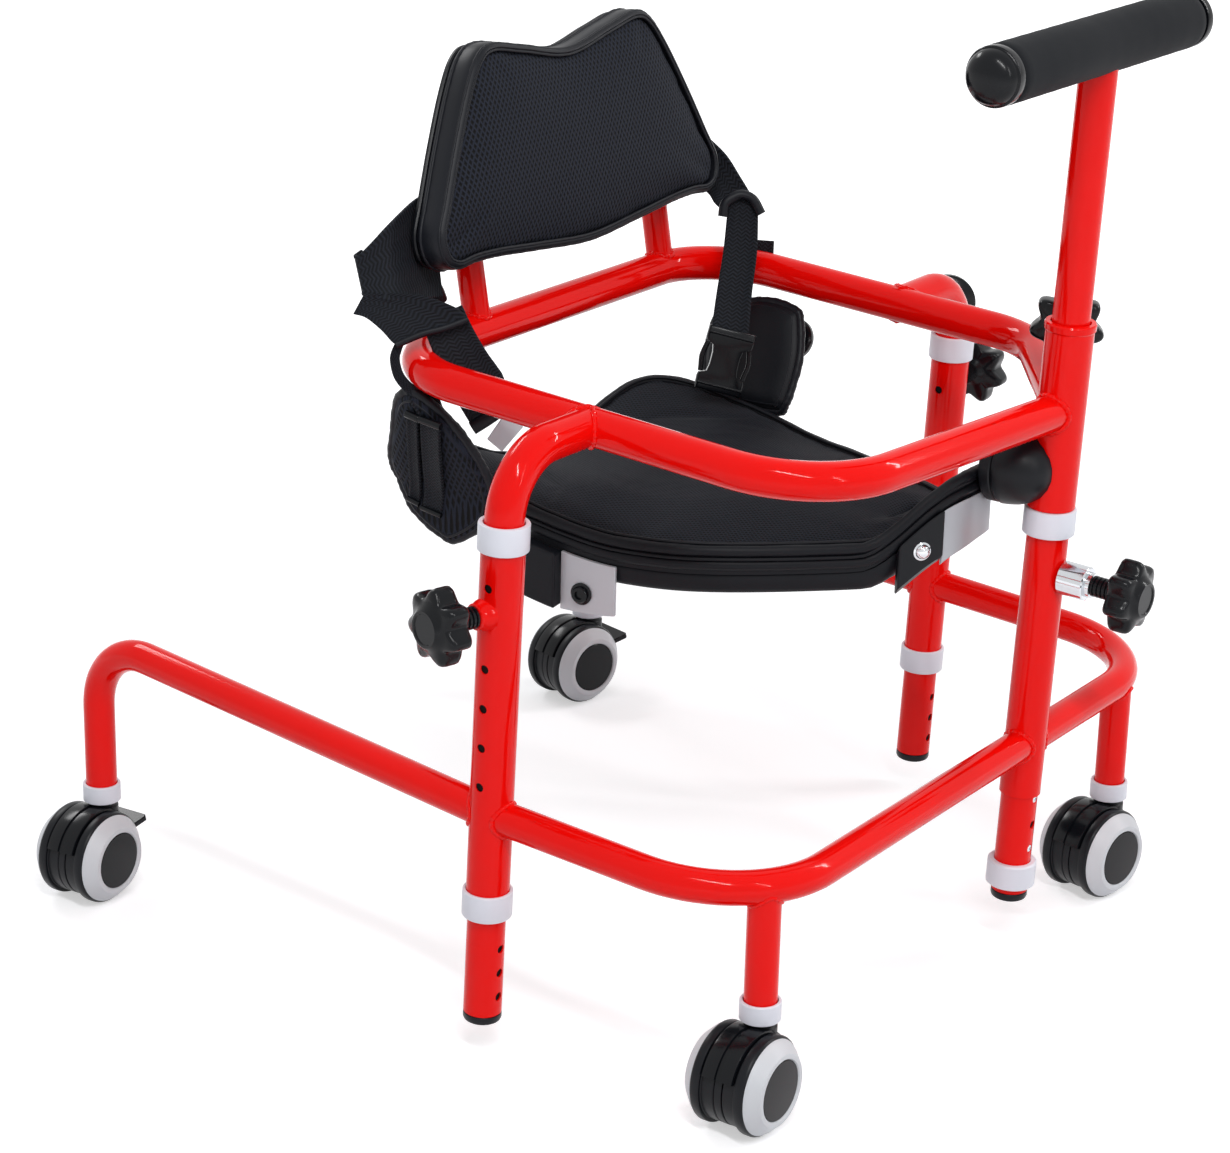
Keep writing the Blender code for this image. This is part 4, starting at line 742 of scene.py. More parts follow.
@dataclass
class BaseFrame:
    """The welded base: a bent U tube, castor stems and three guide tubes with their holes."""

    tube_radius: float = 0.011
    bore_radius: float = 0.013
    half_width: float = 0.27
    corner_radius: float = 0.08
    rear_near: tuple[float, float] = (-0.242, 0.3073)
    rear_far: tuple[float, float] = (0.273, 0.256)
    stem_x: tuple[float, float] = (0.235, 0.205)
    stem_bottom: float = 0.0695
    mast_low: float = 0.119
    hole_radius: float = 0.003
    hole_top: float = 0.323
    hole_pitch: float = 0.0265
    hole_rows: tuple[int, ...] = (0, 2, 3, 4, 5)

    def stem(self, side: Side) -> tuple[float, float]:
        """The floor plan place of a front castor's stem, under the bar's corner arc."""
        x = self.stem_x[side is Side.FAR]
        along = max(0.0, x - self.half_width + self.corner_radius)
        y = LAYOUT.front_y + self.corner_radius - sqrt(self.corner_radius ** 2 - along ** 2)
        return side.value * x, y

    def guide(self, name: str, low: Vector, high: Vector) -> Object:
        """A guide tube with its bore and rounded ends."""
        length = (high - low).length
        radius, edge = LAYOUT.guide_radius, 0.0004
        profile = [
            (self.bore_radius, 0.0), (radius - edge, 0.0), (radius, edge), (radius, length - edge),
            (radius - edge, length), (self.bore_radius, length),
        ]
        return turned(name, profile, frame_at(low, high - low), 72)

    def boss(self, name: str, point: Vector, yaw: float) -> Object:
        """A welded boss with a flared foot that carries a knob."""
        foot, reach = LAYOUT.guide_radius, LAYOUT.boss_reach
        profile = [
            (0.0, self.bore_radius), (0.011, self.bore_radius - 0.003), (0.0098, foot + 0.0015),
            (0.0085, foot + 0.004), (0.0085, reach - 0.0008), (0.0077, reach), (0.0, reach),
        ]
        return turned(name, profile, frame_at(point, LAYOUT.knob_axis(yaw)), 40)

    def build(self) -> None:
        """Models and dresses the base."""
        near_leg = LAYOUT.leg(Side.NEAR, LAYOUT.base_z(LAYOUT.leg_y))
        far_leg = LAYOUT.leg(Side.FAR, LAYOUT.base_z(LAYOUT.leg_y))
        near_end = Vector((*self.rear_near, LAYOUT.base_z(self.rear_near[1])))
        far_end = Vector((*self.rear_far, LAYOUT.base_z(self.rear_far[1])))
        corners = [
            (near_end.x, near_end.y, self.stem_bottom), near_end, near_leg,
            *((x, LAYOUT.front_y, LAYOUT.front_z) for x in (-self.half_width, self.half_width)),
            far_leg, far_end, (far_end.x, far_end.y, self.stem_bottom),
        ]
        radii = [0.048, 0.3, self.corner_radius, self.corner_radius, 0.3, 0.048]
        body = Body.BASE
        bar = tube("base_tube", fillet(corners, radii), self.tube_radius, resolution=8)
        dress(bar, RED, body, "base_frame")
        beads = []
        for side in Side:
            foot = Vector((*self.stem(side), self.stem_bottom))
            top = Vector((foot.x, foot.y, LAYOUT.base_z(foot.y) - 0.002))
            stem = tube(f"base_stem_{side.label}", [foot, top], self.tube_radius - 0.0003, resolution=8)
            dress(stem, RED, body, "base_frame")
            lead = max(0.0, abs(foot.x) - self.half_width + self.corner_radius) / self.corner_radius
            front = Vector((side.value * sqrt(1 - lead ** 2), lead, 0.0))
            spot = Vector((foot.x, foot.y, LAYOUT.base_z(foot.y)))
            beads.append(weld_bead(f"bead_stem_{side.label}", (foot, UP, self.tube_radius - 0.0004),
                                   (spot, front, self.tube_radius + 0.0002), 0.0013))
            low, high = (LAYOUT.leg(side, z) for z in LAYOUT.leg_span)
            guide = self.guide(f"leg_guide_{side.label}", low, high)
            depths = []
            for row in self.hole_rows:
                centre = LAYOUT.leg(side, self.hole_top - row * self.hole_pitch)
                cut(guide, tube("drill", [centre - ACROSS * 0.028, centre], self.hole_radius, resolution=4))
                # A dark disc just inside each hole: painted shade for the hole's unlit inside.
                depths.append(disc("hole_depth", centre, -ACROSS, LAYOUT.guide_radius - 0.001,
                                   self.hole_radius - 0.0001))
            dress(smooth(guide, 32.0), RED, body, "base_frame")
            dress(join(f"leg_hole_depths_{side.label}", depths), HOLE_SHADE, body)
            along = Vector((0.0, 1.0, LAYOUT.frame_pitch)).normalized()
            for sign in (-1, 1):
                start = LAYOUT.leg(side, LAYOUT.base_z(LAYOUT.leg_y)) - along * sign * 0.05
                meeting = (start, along * sign, self.tube_radius)
                beads.append(weld_bead(f"bead_leg_{side.label}_{sign}", meeting,
                                       (low, high - low, LAYOUT.guide_radius)))
        low, high = LAYOUT.mast(self.mast_low), LAYOUT.mast(LAYOUT.mast_top)
        dress(self.guide("mast_guide", low, high), RED, body, "base_frame")
        for sign in (-1, 1):
            start = Vector((LAYOUT.mast_x - sign * 0.05, LAYOUT.front_y, LAYOUT.front_z))
            beads.append(weld_bead(f"bead_mast_{sign}", (start, Vector((sign, 0.0, 0.0)), self.tube_radius),
                                   (low, high - low, LAYOUT.guide_radius)))
        boss = self.boss("near_knob_boss", LAYOUT.leg(Side.NEAR, LAYOUT.near_knob_z), LAYOUT.near_knob_yaw)
        dress(boss, RED, body, "base_frame")
        dress(join("base_weld_beads", beads), RED, body, "base_frame")


@dataclass
class RingFrame:
    """The welded ring: seat ring, two leg tubes, sleeve, inner mast tube and back posts."""

    tube_radius: float = 0.0125
    bore_radius: float = 0.0105
    sleeve_radius: float = 0.016
    post_radius: float = 0.0095
    sleeve_top: float = 0.452
    near_corner: float = -0.2385
    far_corner: float = -0.176

    def ring_path(self) -> list[Vector]:
        """The ring tube's centre line from the sleeve round the seat and back."""
        join_point = LAYOUT.mast(LAYOUT.ring_z(LAYOUT.ring_front_y))
        half = LAYOUT.ring_half
        plan = [
            (join_point.x, join_point.y), (-half, self.near_corner), (-half, LAYOUT.ring_rear_y),
            (half, LAYOUT.ring_rear_y), (half, self.far_corner), (join_point.x, join_point.y),
        ]
        flat = fillet([(x, y, 0.0) for x, y in plan], [0.072, 0.06, 0.06, 0.06], 24)
        return [Vector((p.x, p.y, LAYOUT.ring_z(p.y))) for p in flat]

    def holed_foot(self, name: str, foot: Vector, top: Vector, lows: Sequence[float]) -> Object:
        """The lower end of an inner tube with its bore and a row of holes."""
        length = (top - foot).length
        profile = [(self.bore_radius, 0.0), (self.tube_radius - 0.0004, 0.0), (self.tube_radius, 0.0004),
                   (self.tube_radius, length), (self.bore_radius, length)]
        piece = turned(name, profile, frame_at(foot, top - foot), 72)
        depths = []
        for z in lows:
            share = (z - foot.z) / (top.z - foot.z)
            centre = foot.lerp(top, share)
            cut(piece, tube("drill", [centre - Vector((0.0, 0.028, 0.0)), centre], 0.003, resolution=4))
            # A dark disc just inside each hole: painted shade for the hole's unlit inside.
            depths.append(disc("hole_depth", centre, -BACKWARDS, self.tube_radius - 0.0014, 0.0029))
        dress(join(f"{name}_hole_depths", depths), HOLE_SHADE, Body.RING)
        return smooth(piece, 32.0)

    def build(self) -> None:
        """Models and dresses the ring."""
        body = Body.RING
        path = self.ring_path()
        dress(tube("ring_tube", path, self.tube_radius - 0.0001, resolution=8), RED, body, "ring_frame")
        beads = []
        low = LAYOUT.mast(LAYOUT.mast_top + 0.0025)
        high = LAYOUT.mast(self.sleeve_top)
        length = (high - low).length
        r = self.sleeve_radius
        sleeve = turned("sleeve", [
            (0.0127, 0.0), (r - 0.0005, 0.0), (r, 0.0005), (r, length - 0.006),
            (r + 0.0008, length - 0.005), (r + 0.001, length - 0.0012), (r + 0.0003, length),
            (0.0135, length), (0.013, length - 0.0008), (0.013, length - 0.11),
            (0.0127, length - 0.111),
        ], frame_at(low, high - low), 80)
        dress(sleeve, RED, body, "ring_frame")
        for sign, start, after in ((-1, path[0], path[1]), (1, path[-1], path[-2])):
            away = (after - start).normalized()
            beads.append(weld_bead(f"bead_ring_{sign}", (start + away * 0.05, -away, self.tube_radius),
                                   (low, high - low, r), 0.0019))
        for side in Side:
            top = LAYOUT.leg(side, LAYOUT.ring_z(LAYOUT.leg_y))
            inner = Vector((side.value * (LAYOUT.ring_half - 0.004), top.y, LAYOUT.ring_z(top.y)))
            foot = LAYOUT.leg(side, LAYOUT.leg_foot)
            upper = LAYOUT.leg(side, LAYOUT.leg_foot + 0.05)
            bend = fillet([upper, top, inner], [LAYOUT.leg_bend], 24)
            leg = tube(f"ring_leg_{side.label}", bend, self.tube_radius, resolution=8)
            dress(leg, RED, body, "ring_frame")
            lows = [0.042 + 0.017 * i for i in range(3)]
            dress(self.holed_foot(f"ring_foot_{side.label}", foot, upper, lows), RED, body, "ring_frame")
            middle = Vector((side.value * LAYOUT.ring_half, top.y, inner.z))
            beads.append(weld_bead(f"bead_bend_{side.label}",
                                   (inner + ACROSS * side.value * 0.04, ACROSS * -side.value, self.tube_radius),
                                   (middle, BACKWARDS + UP * LAYOUT.frame_pitch, self.tube_radius), 0.0018))
        foot = LAYOUT.mast(LAYOUT.mast_foot)
        screws = (LAYOUT.mast_foot + 0.033, LAYOUT.mast_foot + 0.07)
        lows = [LAYOUT.mast_foot + 0.051, *screws]
        inner = self.holed_foot("mast_inner", foot, LAYOUT.mast(LAYOUT.mast_top + 0.01), lows)
        dress(inner, RED, body, "ring_frame")
        for i, z in enumerate(screws):
            spot = LAYOUT.mast(z) - Vector((0.0, self.tube_radius - 0.0013, 0.0))
            head = turned(f"mast_screw_{i}", [(0.0, 0.0), (0.0028, 0.0), (0.0028, 0.0006), (0.002, 0.0011),
                                              (0.0011, 0.0012), (0.001, 0.0006), (0.0, 0.0006)],
                          frame_at(spot, -BACKWARDS), 24)
            dress(head, CHROME, body)
        back = LAYOUT.back()
        rear = Vector((0.0, LAYOUT.ring_rear_y, LAYOUT.ring_z(LAYOUT.ring_rear_y)))
        for side in Side:
            foot = back @ Vector((side.value * LAYOUT.post_half, 0.0, 0.0))
            head = back @ Vector((side.value * LAYOUT.post_half, 0.0, LAYOUT.post_length))
            post = tube(f"back_post_{side.label}", [foot, head], self.post_radius, resolution=8)
            dress(post, RED, body, "ring_frame")
            beads.append(weld_bead(f"bead_post_{side.label}", (head, foot - head, self.post_radius),
                                   (rear, ACROSS, self.tube_radius), 0.0015))
        for name, point, yaw in (
            ("handle_knob_boss", LAYOUT.mast(LAYOUT.handle_knob_z), LAYOUT.handle_knob_yaw),
            ("bend_knob_boss", LAYOUT.bend(), LAYOUT.bend_knob_yaw),
        ):
            dress(BaseFrame().boss(name, point, yaw), RED, body, "ring_frame")
        dress(join("ring_weld_beads", beads), RED, body, "ring_frame")


@dataclass
class Collars:
    """White end bushes of the guide tubes, the mast's stop collar and the black foot caps."""

    wall: float = 0.0019
    height: float = 0.018
    lip: float = 0.0022

    def bush(self, name: str, place: Matrix, extra: float = 0.0) -> Object:
        """A bush with a lip over the tube's end and softly rounded edges."""
        inner = LAYOUT.guide_radius + LAYOUT.gap
        outer = inner + self.wall + extra
        low = -self.height + self.lip
        profile = [
            (inner, low), (outer - 0.0006, low), (outer, low + 0.0006), (outer, self.lip - 0.0009),
            (outer - 0.0003, self.lip - 0.0003), (outer - 0.001, self.lip), (0.0135, self.lip),
            (0.013, self.lip - 0.0005), (0.013, LAYOUT.gap), (inner, LAYOUT.gap),
        ]
        return turned(name, profile, place, 72)

    def build(self) -> None:
        """Models and dresses the collars and the caps."""
        base, ring = Body.BASE, Body.RING
        for side in Side:
            low, top = (LAYOUT.leg(side, z) for z in LAYOUT.leg_span)
            low, top = frame_at(low, -LAYOUT.axis), frame_at(top, LAYOUT.axis)
            dress(self.bush(f"top_bush_{side.label}", top), WHITE, base, f"leg_top_collar_{side.label}")
            dress(self.bush(f"low_bush_{side.label}", low), WHITE, base, f"leg_low_collar_{side.label}")
        mast_bush = self.bush("mast_bush", frame_at(LAYOUT.mast(LAYOUT.mast_top), LAYOUT.axis), 0.0012)
        dress(mast_bush, WHITE, base, "mast_top_collar")
        outer = LAYOUT.guide_radius + LAYOUT.gap + self.wall + 0.0006
        profile = [
            (0.0128, 0.0), (outer - 0.001, 0.0), (outer, 0.001), (outer, 0.0168),
            (outer - 0.0012, 0.018), (0.0128, 0.018),
        ]
        stop = turned("mast_stop", profile, frame_at(LAYOUT.mast(LAYOUT.mast_foot + 0.0045), LAYOUT.axis), 72)
        dress(stop, WHITE, ring, "mast_stop_collar")
        cap = [(0.0, 0.018), (0.0102, 0.018), (0.0102, -0.0003), (0.0122, -0.0003), (0.0125, -0.0007),
               (0.0125, -0.0038), (0.0119, -0.0052), (0.0107, -0.006), (0.0, -0.006)]
        places = {"mast": LAYOUT.mast(LAYOUT.mast_foot)}
        places |= {side.label: LAYOUT.leg(side, LAYOUT.leg_foot) for side in Side}
        for label, point in places.items():
            plug = turned(f"plug_{label}", cap, frame_at(point, LAYOUT.axis), 64)
            dress(plug, SATIN, ring, f"foot_cap_{label}")


@dataclass
class Castor:
    """A swivelling twin-wheel castor with its hood, brake tab and bevelled wheels."""

    name: str
    x: float
    y: float
    yaw: float
    radius: float = 0.0325
    trail: float = 0.016
    slot: float = 0.0052
    width: float = 0.0248
    low: float = 0.0673

    @property
    def turn(self) -> Matrix:
        """The placing of the stem's foot, turned by the yaw."""
        return Matrix.Translation((self.x, self.y, 0.0)) @ Matrix.Rotation(radians(self.yaw), 4, "Z")

    @property
    def axle(self) -> Matrix:
        """The placing of the axle's middle, with local Z along it and local X forwards."""
        return self.turn @ frame_at(Vector((-self.trail, 0.0, self.radius)), BACKWARDS)

    def hood(self) -> Object:
        """The hood: an arc of wall with rounded edges, ribs beside its slot and a lower lip."""
        outer, inner, half = self.radius + 0.0012, self.radius - 0.0018, self.slot / 2 + 0.0085
        profile = [
            (inner, -half), (outer - 0.0012, -half), (outer - 0.0003, -half + 0.0004),
            (outer, -half + 0.0014), (outer, -0.0016), (outer - 0.0012, -0.0011), (outer - 0.0012, 0.0011),
            (outer, 0.0016), (outer, half - 0.0014), (outer - 0.0003, half - 0.0004),
            (outer - 0.0012, half), (inner, half),
        ]
        start, end = 18.0, 160.0
        place = self.axle @ Matrix.Rotation(radians(-start), 4, "Z")
        return turned(f"hood_{self.name}", profile, place, 56, radians(end - start))

    def wheel(self, side: int, label: str) -> None:
        """One wheel: its tread, the grey bevelled ring and the flat hub."""
        inner = self.slot / 2 + 0.0006
        place = self.axle @ Matrix.Translation((0.0, 0.0, side * inner))
        if side < 0:
            place = place @ Matrix.Rotation(pi, 4, "X")
        big, wide = self.radius, self.width
        step = 0.0093
        tread = [
            (0.0043, 0.0), (0.0292, 0.0), (0.0298, 0.0006), (0.0298, step - 0.0006), (0.0302, step),
            (big - 0.0008, step), (big - 0.0002, step + 0.0004), (big, step + 0.0012),
            (big, step + 0.005), (big - 0.0005, step + 0.0062), (big - 0.0016, step + 0.007),
            (0.0215, wide - 0.0022), (0.0043, wide - 0.0022),
        ]
        body = f"wheel_{label}_{self.name}"
        node = f"castor_wheel_{label}_{self.name}"
        dress(turned(f"tread_{label}_{self.name}", tread, place, 80), SATIN, body, node)
        ring = [
            (big - 0.0014, step + 0.0062), (big - 0.0017, step + 0.0076), (big - 0.003, step + 0.0094),
            (0.0238, wide - 0.0003), (0.0222, wide), (0.0206, wide - 0.0002), (0.02, wide - 0.001),
            (0.02, wide - 0.0024), (0.026, wide - 0.006),
        ]
        dress(turned(f"ring_{label}_{self.name}", ring, place, 80), RIM, body, node)
        hub = [
            (0.0, wide - 0.003), (0.0199, wide - 0.003), (0.0199, wide - 0.0012),
            (0.0192, wide - 0.0007), (0.012, wide - 0.0004), (0.0, wide - 0.0003),
        ]
        dress(turned(f"hub_{label}_{self.name}", hub, place, 64), BLACK, body, node)

    def build(self) -> None:
        """Models and dresses the castor."""
        body = f"castor_{self.name}"
        node = f"castor_housing_{self.name}"
        stem = Matrix.Translation((self.x, self.y, 0.0))
        low = self.low
        collar = [(0.0113, low + 0.013), (0.0126, low + 0.013), (0.0132, low + 0.0124), (0.0132, low + 0.0006),
                  (0.0126, low), (0.006, low), (0.006, low + 0.0019), (0.0113, low + 0.0019)]
        dress(turned(f"stem_collar_{self.name}", collar, stem, 64), WHITE, Body.BASE,
              f"castor_collar_{self.name}")
        neck = turned(f"neck_{self.name}", [
            (0.0, low - 0.0003), (0.0096, low - 0.0003), (0.01, low - 0.0009), (0.01, low - 0.003),
            (0.0112, low - 0.0042), (0.0112, 0.048), (0.0, 0.048),
        ], stem, 48)
        reach = self.radius - 0.0006
        room = turned("room", [(0.0, -0.03), (reach, -0.03), (reach, 0.03), (0.0, 0.03)], self.axle, 96)
        dress(smooth(cut(neck, room), 32.0), SATIN, body, node)
        dress(self.hood(), BLACK, body, node)
        web = turned(f"web_{self.name}", [
            (0.0, -self.slot / 2), (self.radius - 0.003, -self.slot / 2),
            (self.radius - 0.0026, -self.slot / 2 + 0.0004),
            (self.radius - 0.0026, self.slot / 2 - 0.0004), (self.radius - 0.003, self.slot / 2),
            (0.0, self.slot / 2),
        ], self.axle, 64)
        dress(web, SATIN, body, node)
        if self.name.startswith("rear"):
            lift = Matrix.Rotation(radians(18.0), 4, "Z")
            flat = [(0.0333, -0.014), (0.045, -0.017), (0.047, -0.015), (0.047, 0.015), (0.045, 0.017),
                    (0.0333, 0.014)]
            place = self.axle @ lift.inverted()
            rings = [[place @ Vector((r, h, w)) for r, w in flat] for h in (-0.002, 0.002)]
            tab = skin(f"brake_{self.name}", rings, 30.0)
            refine(tab, "BEVEL", width=0.0008, segments=3, limit_method="ANGLE")
            dress(smooth(tab, 40.0), BLACK, body, node)
        self.wheel(-1, "a")
        self.wheel(1, "b")


@dataclass
class StarKnob:
    """A lobed clamping knob on a ringed neck, with a chromed nut where the real one shows it."""

    name: str
    body: str
    point: Vector
    yaw: float
    stand_off: float
    lobes: int = 7
    radius: float = 0.025
    neck: float = 0.018
    depth: float = 0.02

    def head(self) -> Object:
        """The neck and the lobed head, with a rounded rim and a sunk face."""
        axis = LAYOUT.knob_axis(self.yaw)
        place = frame_at(self.point + axis * self.stand_off, axis, LAYOUT.axis)
        big, neck, deep = self.radius, self.neck, self.depth
        stem, groove = 0.007, 0.006
        levels = [(stem, 0.0, 0.0)]
        for i in range(4):
            at = 0.0012 + i * 0.003
            levels += [(stem, at, 0.0), (groove, at + 0.0004, 0.0), (groove, at + 0.001, 0.0),
                       (stem, at + 0.0014, 0.0)]
        levels += [(stem, neck - 0.0045, 0.0), (0.01, neck - 0.0025, 0.0), (0.0115, neck - 0.0015, 0.01)]
        # Share of the radius, height above the neck and depth of the lobes, from the back to the sunk face.
        shape = [
            (0.8, -0.001, 0.07), (0.93, 0.0, 0.11), (0.985, 0.0014, 0.125), (1.0, 0.0034, 0.13),
            (1.0, deep * 0.5, 0.13), (0.985, deep * 0.62, 0.125), (0.95, deep * 0.7, 0.12),
            (0.88, deep * 0.755, 0.1), (0.72, deep * 0.8, 0.04), (0.58, deep * 0.84, 0.0),
            (0.5, deep * 0.96, 0.0), (0.46, deep, 0.0), (0.4, deep, 0.0), (0.37, deep - 0.0008, 0.0),
            (0.1, deep - 0.0008, 0.0),
        ]
        levels += [(big * share, neck + height, lobe) for share, height, lobe in shape]
        rings = round_rings(place, [level[:2] for level in levels], self.lobes * 14, self.lobes,
                            [level[2] for level in levels])
        return skin(self.name, rings, 38.0)

    def nut(self, name: str, radius: float, foot: float, sides: int) -> Object:
        """A chamfered nut from the guide tube out to the knob's neck."""
        axis = LAYOUT.knob_axis(self.yaw)
        place = frame_at(self.point, axis, LAYOUT.axis)
        end = self.stand_off - LAYOUT.gap
        levels = [
            (radius * 0.9, foot), (radius, foot + 0.0008), (radius, end - 0.0048), (radius * 0.93, end - 0.004),
            (radius * 0.74, end - 0.004), (radius * 0.74, end - 0.0004), (radius * 0.66, end),
        ]
        return skin(name, round_rings(place, levels, sides), 30.0)

    def build(self) -> None:
        """Models and dresses the knob."""
        dress(self.head(), BLACK, self.body, self.name)


@dataclass
class Knobs:
    """All clamping knobs and their nuts."""

    far_z: float = 0.325
    mast_z: float = 0.279
    mast_reach: float = 0.0376
    far_reach: float = 0.0217

    def round_knob(self, name: str, body: str, start: Vector, axis: Vector, radius: float,
                   height: float) -> None:
        """A round knob with a slim neck, a knurled rim and a domed face."""
        profile = [
            (0.0, 0.0), (0.0058, 0.0), (0.005, 0.001), (0.0048, height * 0.36),
            (radius * 0.55, height * 0.44), (radius * 0.9, height * 0.5), (radius, height * 0.58),
            (radius, height * 0.74), (radius * 0.96, height * 0.82), (radius * 0.86, height * 0.86),
            (radius * 0.84, height * 0.83), (radius * 0.62, height * 0.84), (radius * 0.58, height * 0.92),
            (radius * 0.4, height * 0.98), (0.0, height),
        ]
        dress(turned(name, profile, frame_at(start, axis), 72), BLACK, body, name)

    def build(self) -> None:
        """Models and dresses every knob."""
        gap = LAYOUT.gap
        reach = LAYOUT.boss_reach + gap
        near = LAYOUT.leg(Side.NEAR, LAYOUT.near_knob_z)
        far = LAYOUT.leg(Side.FAR, self.far_z)
        mast = LAYOUT.mast(self.mast_z)
        StarKnob("leg_knob_near", "leg_knob_near_turn", near, LAYOUT.near_knob_yaw, reach).build()
        far_knob = StarKnob("leg_knob_far", "leg_knob_far_turn", far, 4.0, self.far_reach + gap)
        far_knob.build()
        foot = LAYOUT.guide_radius + gap
        dress(far_knob.nut("far_nut", 0.0085, foot, 6), CHROME, Body.BASE, "leg_nut_far")
        mast_knob = StarKnob("mast_knob", "mast_knob_turn", mast, -90.0, self.mast_reach + gap)
        mast_knob.build()
        dress(mast_knob.nut("mast_nut_body", 0.0115, foot, 40), CHROME, Body.BASE, "mast_nut")
        grip = LAYOUT.mast(LAYOUT.handle_knob_z)
        StarKnob("handle_knob", "handle_knob_turn", grip, LAYOUT.handle_knob_yaw, reach).build()
        axis = LAYOUT.knob_axis(LAYOUT.bend_knob_yaw)
        self.round_knob("bend_knob", "bend_knob_turn", LAYOUT.bend() + axis * reach, axis, 0.022, 0.0205)


@dataclass
class PushHandle:
    """The push handle: its tube, the foam grip and the two end caps."""

    low_z: float = 0.367
    grip_z: float = 0.632
    centre_x: float = 0.058
    half: float = 0.1225
    radius: float = 0.019
    bar: float = 0.011
    tube_radius: float = 0.0125

    def build(self) -> None:
        """Models and dresses the handle."""
        body = Body.HANDLE
        low, head = LAYOUT.mast(self.low_z), LAYOUT.mast(self.grip_z)
        dress(tube("handle_post", [low, head], self.tube_radius, resolution=8), RED, body, "handle_tube")
        centre = Vector((self.centre_x, head.y, self.grip_z))
        reach = ACROSS * (self.half + 0.005)
        bar = tube("handle_bar", [centre - reach, centre + reach], self.bar, resolution=6)
        dress(bar, RED, body, "handle_tube")
        big, half = self.radius, self.half
        end = [
            (self.bar + 0.0004, half), (big - 0.0045, half), (big - 0.0016, half - 0.0012), (big, half - 0.0042),
        ]
        levels = [(r, -h) for r, h in end]
        for i in range(1, 40):
            at = -half + 0.0042 + (2 * half - 0.0084) * i / 40
            levels.append((big - 0.00006 * (1 + sin(i * 1.9)), at))
        levels += reversed(end)
        foam = skin("grip_foam", round_rings(frame_at(centre, ACROSS), levels, 64), 60.0)
        notch = tube("notch", [head - LAYOUT.axis * 0.04, head], self.tube_radius + 0.0003, resolution=8)
        dress(smooth(cut(foam, notch), 50.0), FOAM, body, "foam_grip")
        cap = [
            (0.0, 0.0182), (big * 0.2, 0.018), (big * 0.4, 0.0173), (big * 0.56, 0.0162),
            (big * 0.7, 0.0146), (big * 0.81, 0.0125), (big * 0.88, 0.01), (big * 0.9, 0.0086),
            (big * 0.912, 0.0078), (big * 0.955, 0.0074), (big * 0.985, 0.0066), (big * 0.99, 0.005),
            (big * 0.99, 0.0012), (big * 0.975, 0.0003), (self.bar + 0.0003, 0.0003),
            (self.bar + 0.0003, 0.006), (0.0, 0.006),
        ]
        for side in Side:
            out = ACROSS * side.value
            piece = turned(f"end_cap_{side.label}", cap, frame_at(centre + out * half, out), 72)
            dress(piece, BLACK, body, f"grip_cap_{side.label}")


@dataclass
class Outline:
    """A closed outline in a plane, with offsets towards its inside."""

    points: list[tuple[float, float]]
    centre: tuple[float, float]

    def inward(self) -> list[tuple[float, float]]:
        """The unit normals towards the inside at each point."""
        count = len(self.points)
        pairs = zip(self.points, self.points[1:] + self.points[:1])
        area = sum(x0 * y1 - x1 * y0 for (x0, y0), (x1, y1) in pairs)
        turn = 1.0 if area > 0 else -1.0
        normals = []
        for i in range(count):
            (x0, y0), (x1, y1) = self.points[i - 1], self.points[(i + 1) % count]
            length = max(1e-9, sqrt((x1 - x0) ** 2 + (y1 - y0) ** 2))
            normals.append((-turn * (y1 - y0) / length, turn * (x1 - x0) / length))
        return normals

    def offset(self, inset: float, share: float = 1.0) -> list[tuple[float, float]]:
        """The outline moved inwards, then shrunk towards its centre.

        Args:
            inset: How far inwards, in metres.
            share: The scale about the centre after that.

        Returns:
            The moved points.
        """
        cx, cy = self.centre
        moved = []
        for (x, y), (nx, ny) in zip(self.points, self.inward()):
            moved.append((cx + (x + nx * inset - cx) * share, cy + (y + ny * inset - cy) * share))
        return moved


def inflate(obj: Object, cap: float, held: Callable[[Vector], bool]) -> Object:
    """Fills a pad by a cloth simulation with pressure, with its resting side held.

    Args:
        obj: The pad's starting shape, slightly smaller than the pad.
        cap: The most that a point may move, in metres.
        held: Tells whether a point stays where it is.

    Returns:
        The same object with the result applied.
    """
    refine(obj, "REMESH", mode="VOXEL", voxel_size=PAD_VOXEL)
    start = [vert.co.copy() for vert in obj.data.vertices]
    group = obj.vertex_groups.new(name="held")
    group.add([vert.index for vert in obj.data.vertices if held(vert.co)], 1.0, "REPLACE")
    cloth = obj.modifiers.new("cloth", "CLOTH")
    cloth.settings.use_pressure = True
    cloth.settings.uniform_pressure_force = PAD_PRESSURE
    cloth.settings.vertex_group_mass = group.name
    cloth.settings.effector_weights.gravity = 0.0
    cloth.settings.quality = 6
    cloth.point_cache.frame_start = 1
    cloth.point_cache.frame_end = PAD_FRAMES
    for step in range(1, PAD_FRAMES + 1):
        bpy.context.scene.frame_set(step)
    pick(obj)
    bpy.ops.object.modifier_apply(modifier=cloth.name)
    bpy.context.scene.frame_set(1)
    for vert, before in zip(obj.data.vertices, start):
        move = vert.co - before
        if move.length > cap:
            vert.co = before + move.normalized() * cap
    obj.vertex_groups.clear()
    refine(obj, "SUBSURF", levels=1, render_levels=1, use_limit_surface=False)
    return smooth(obj, 80.0)


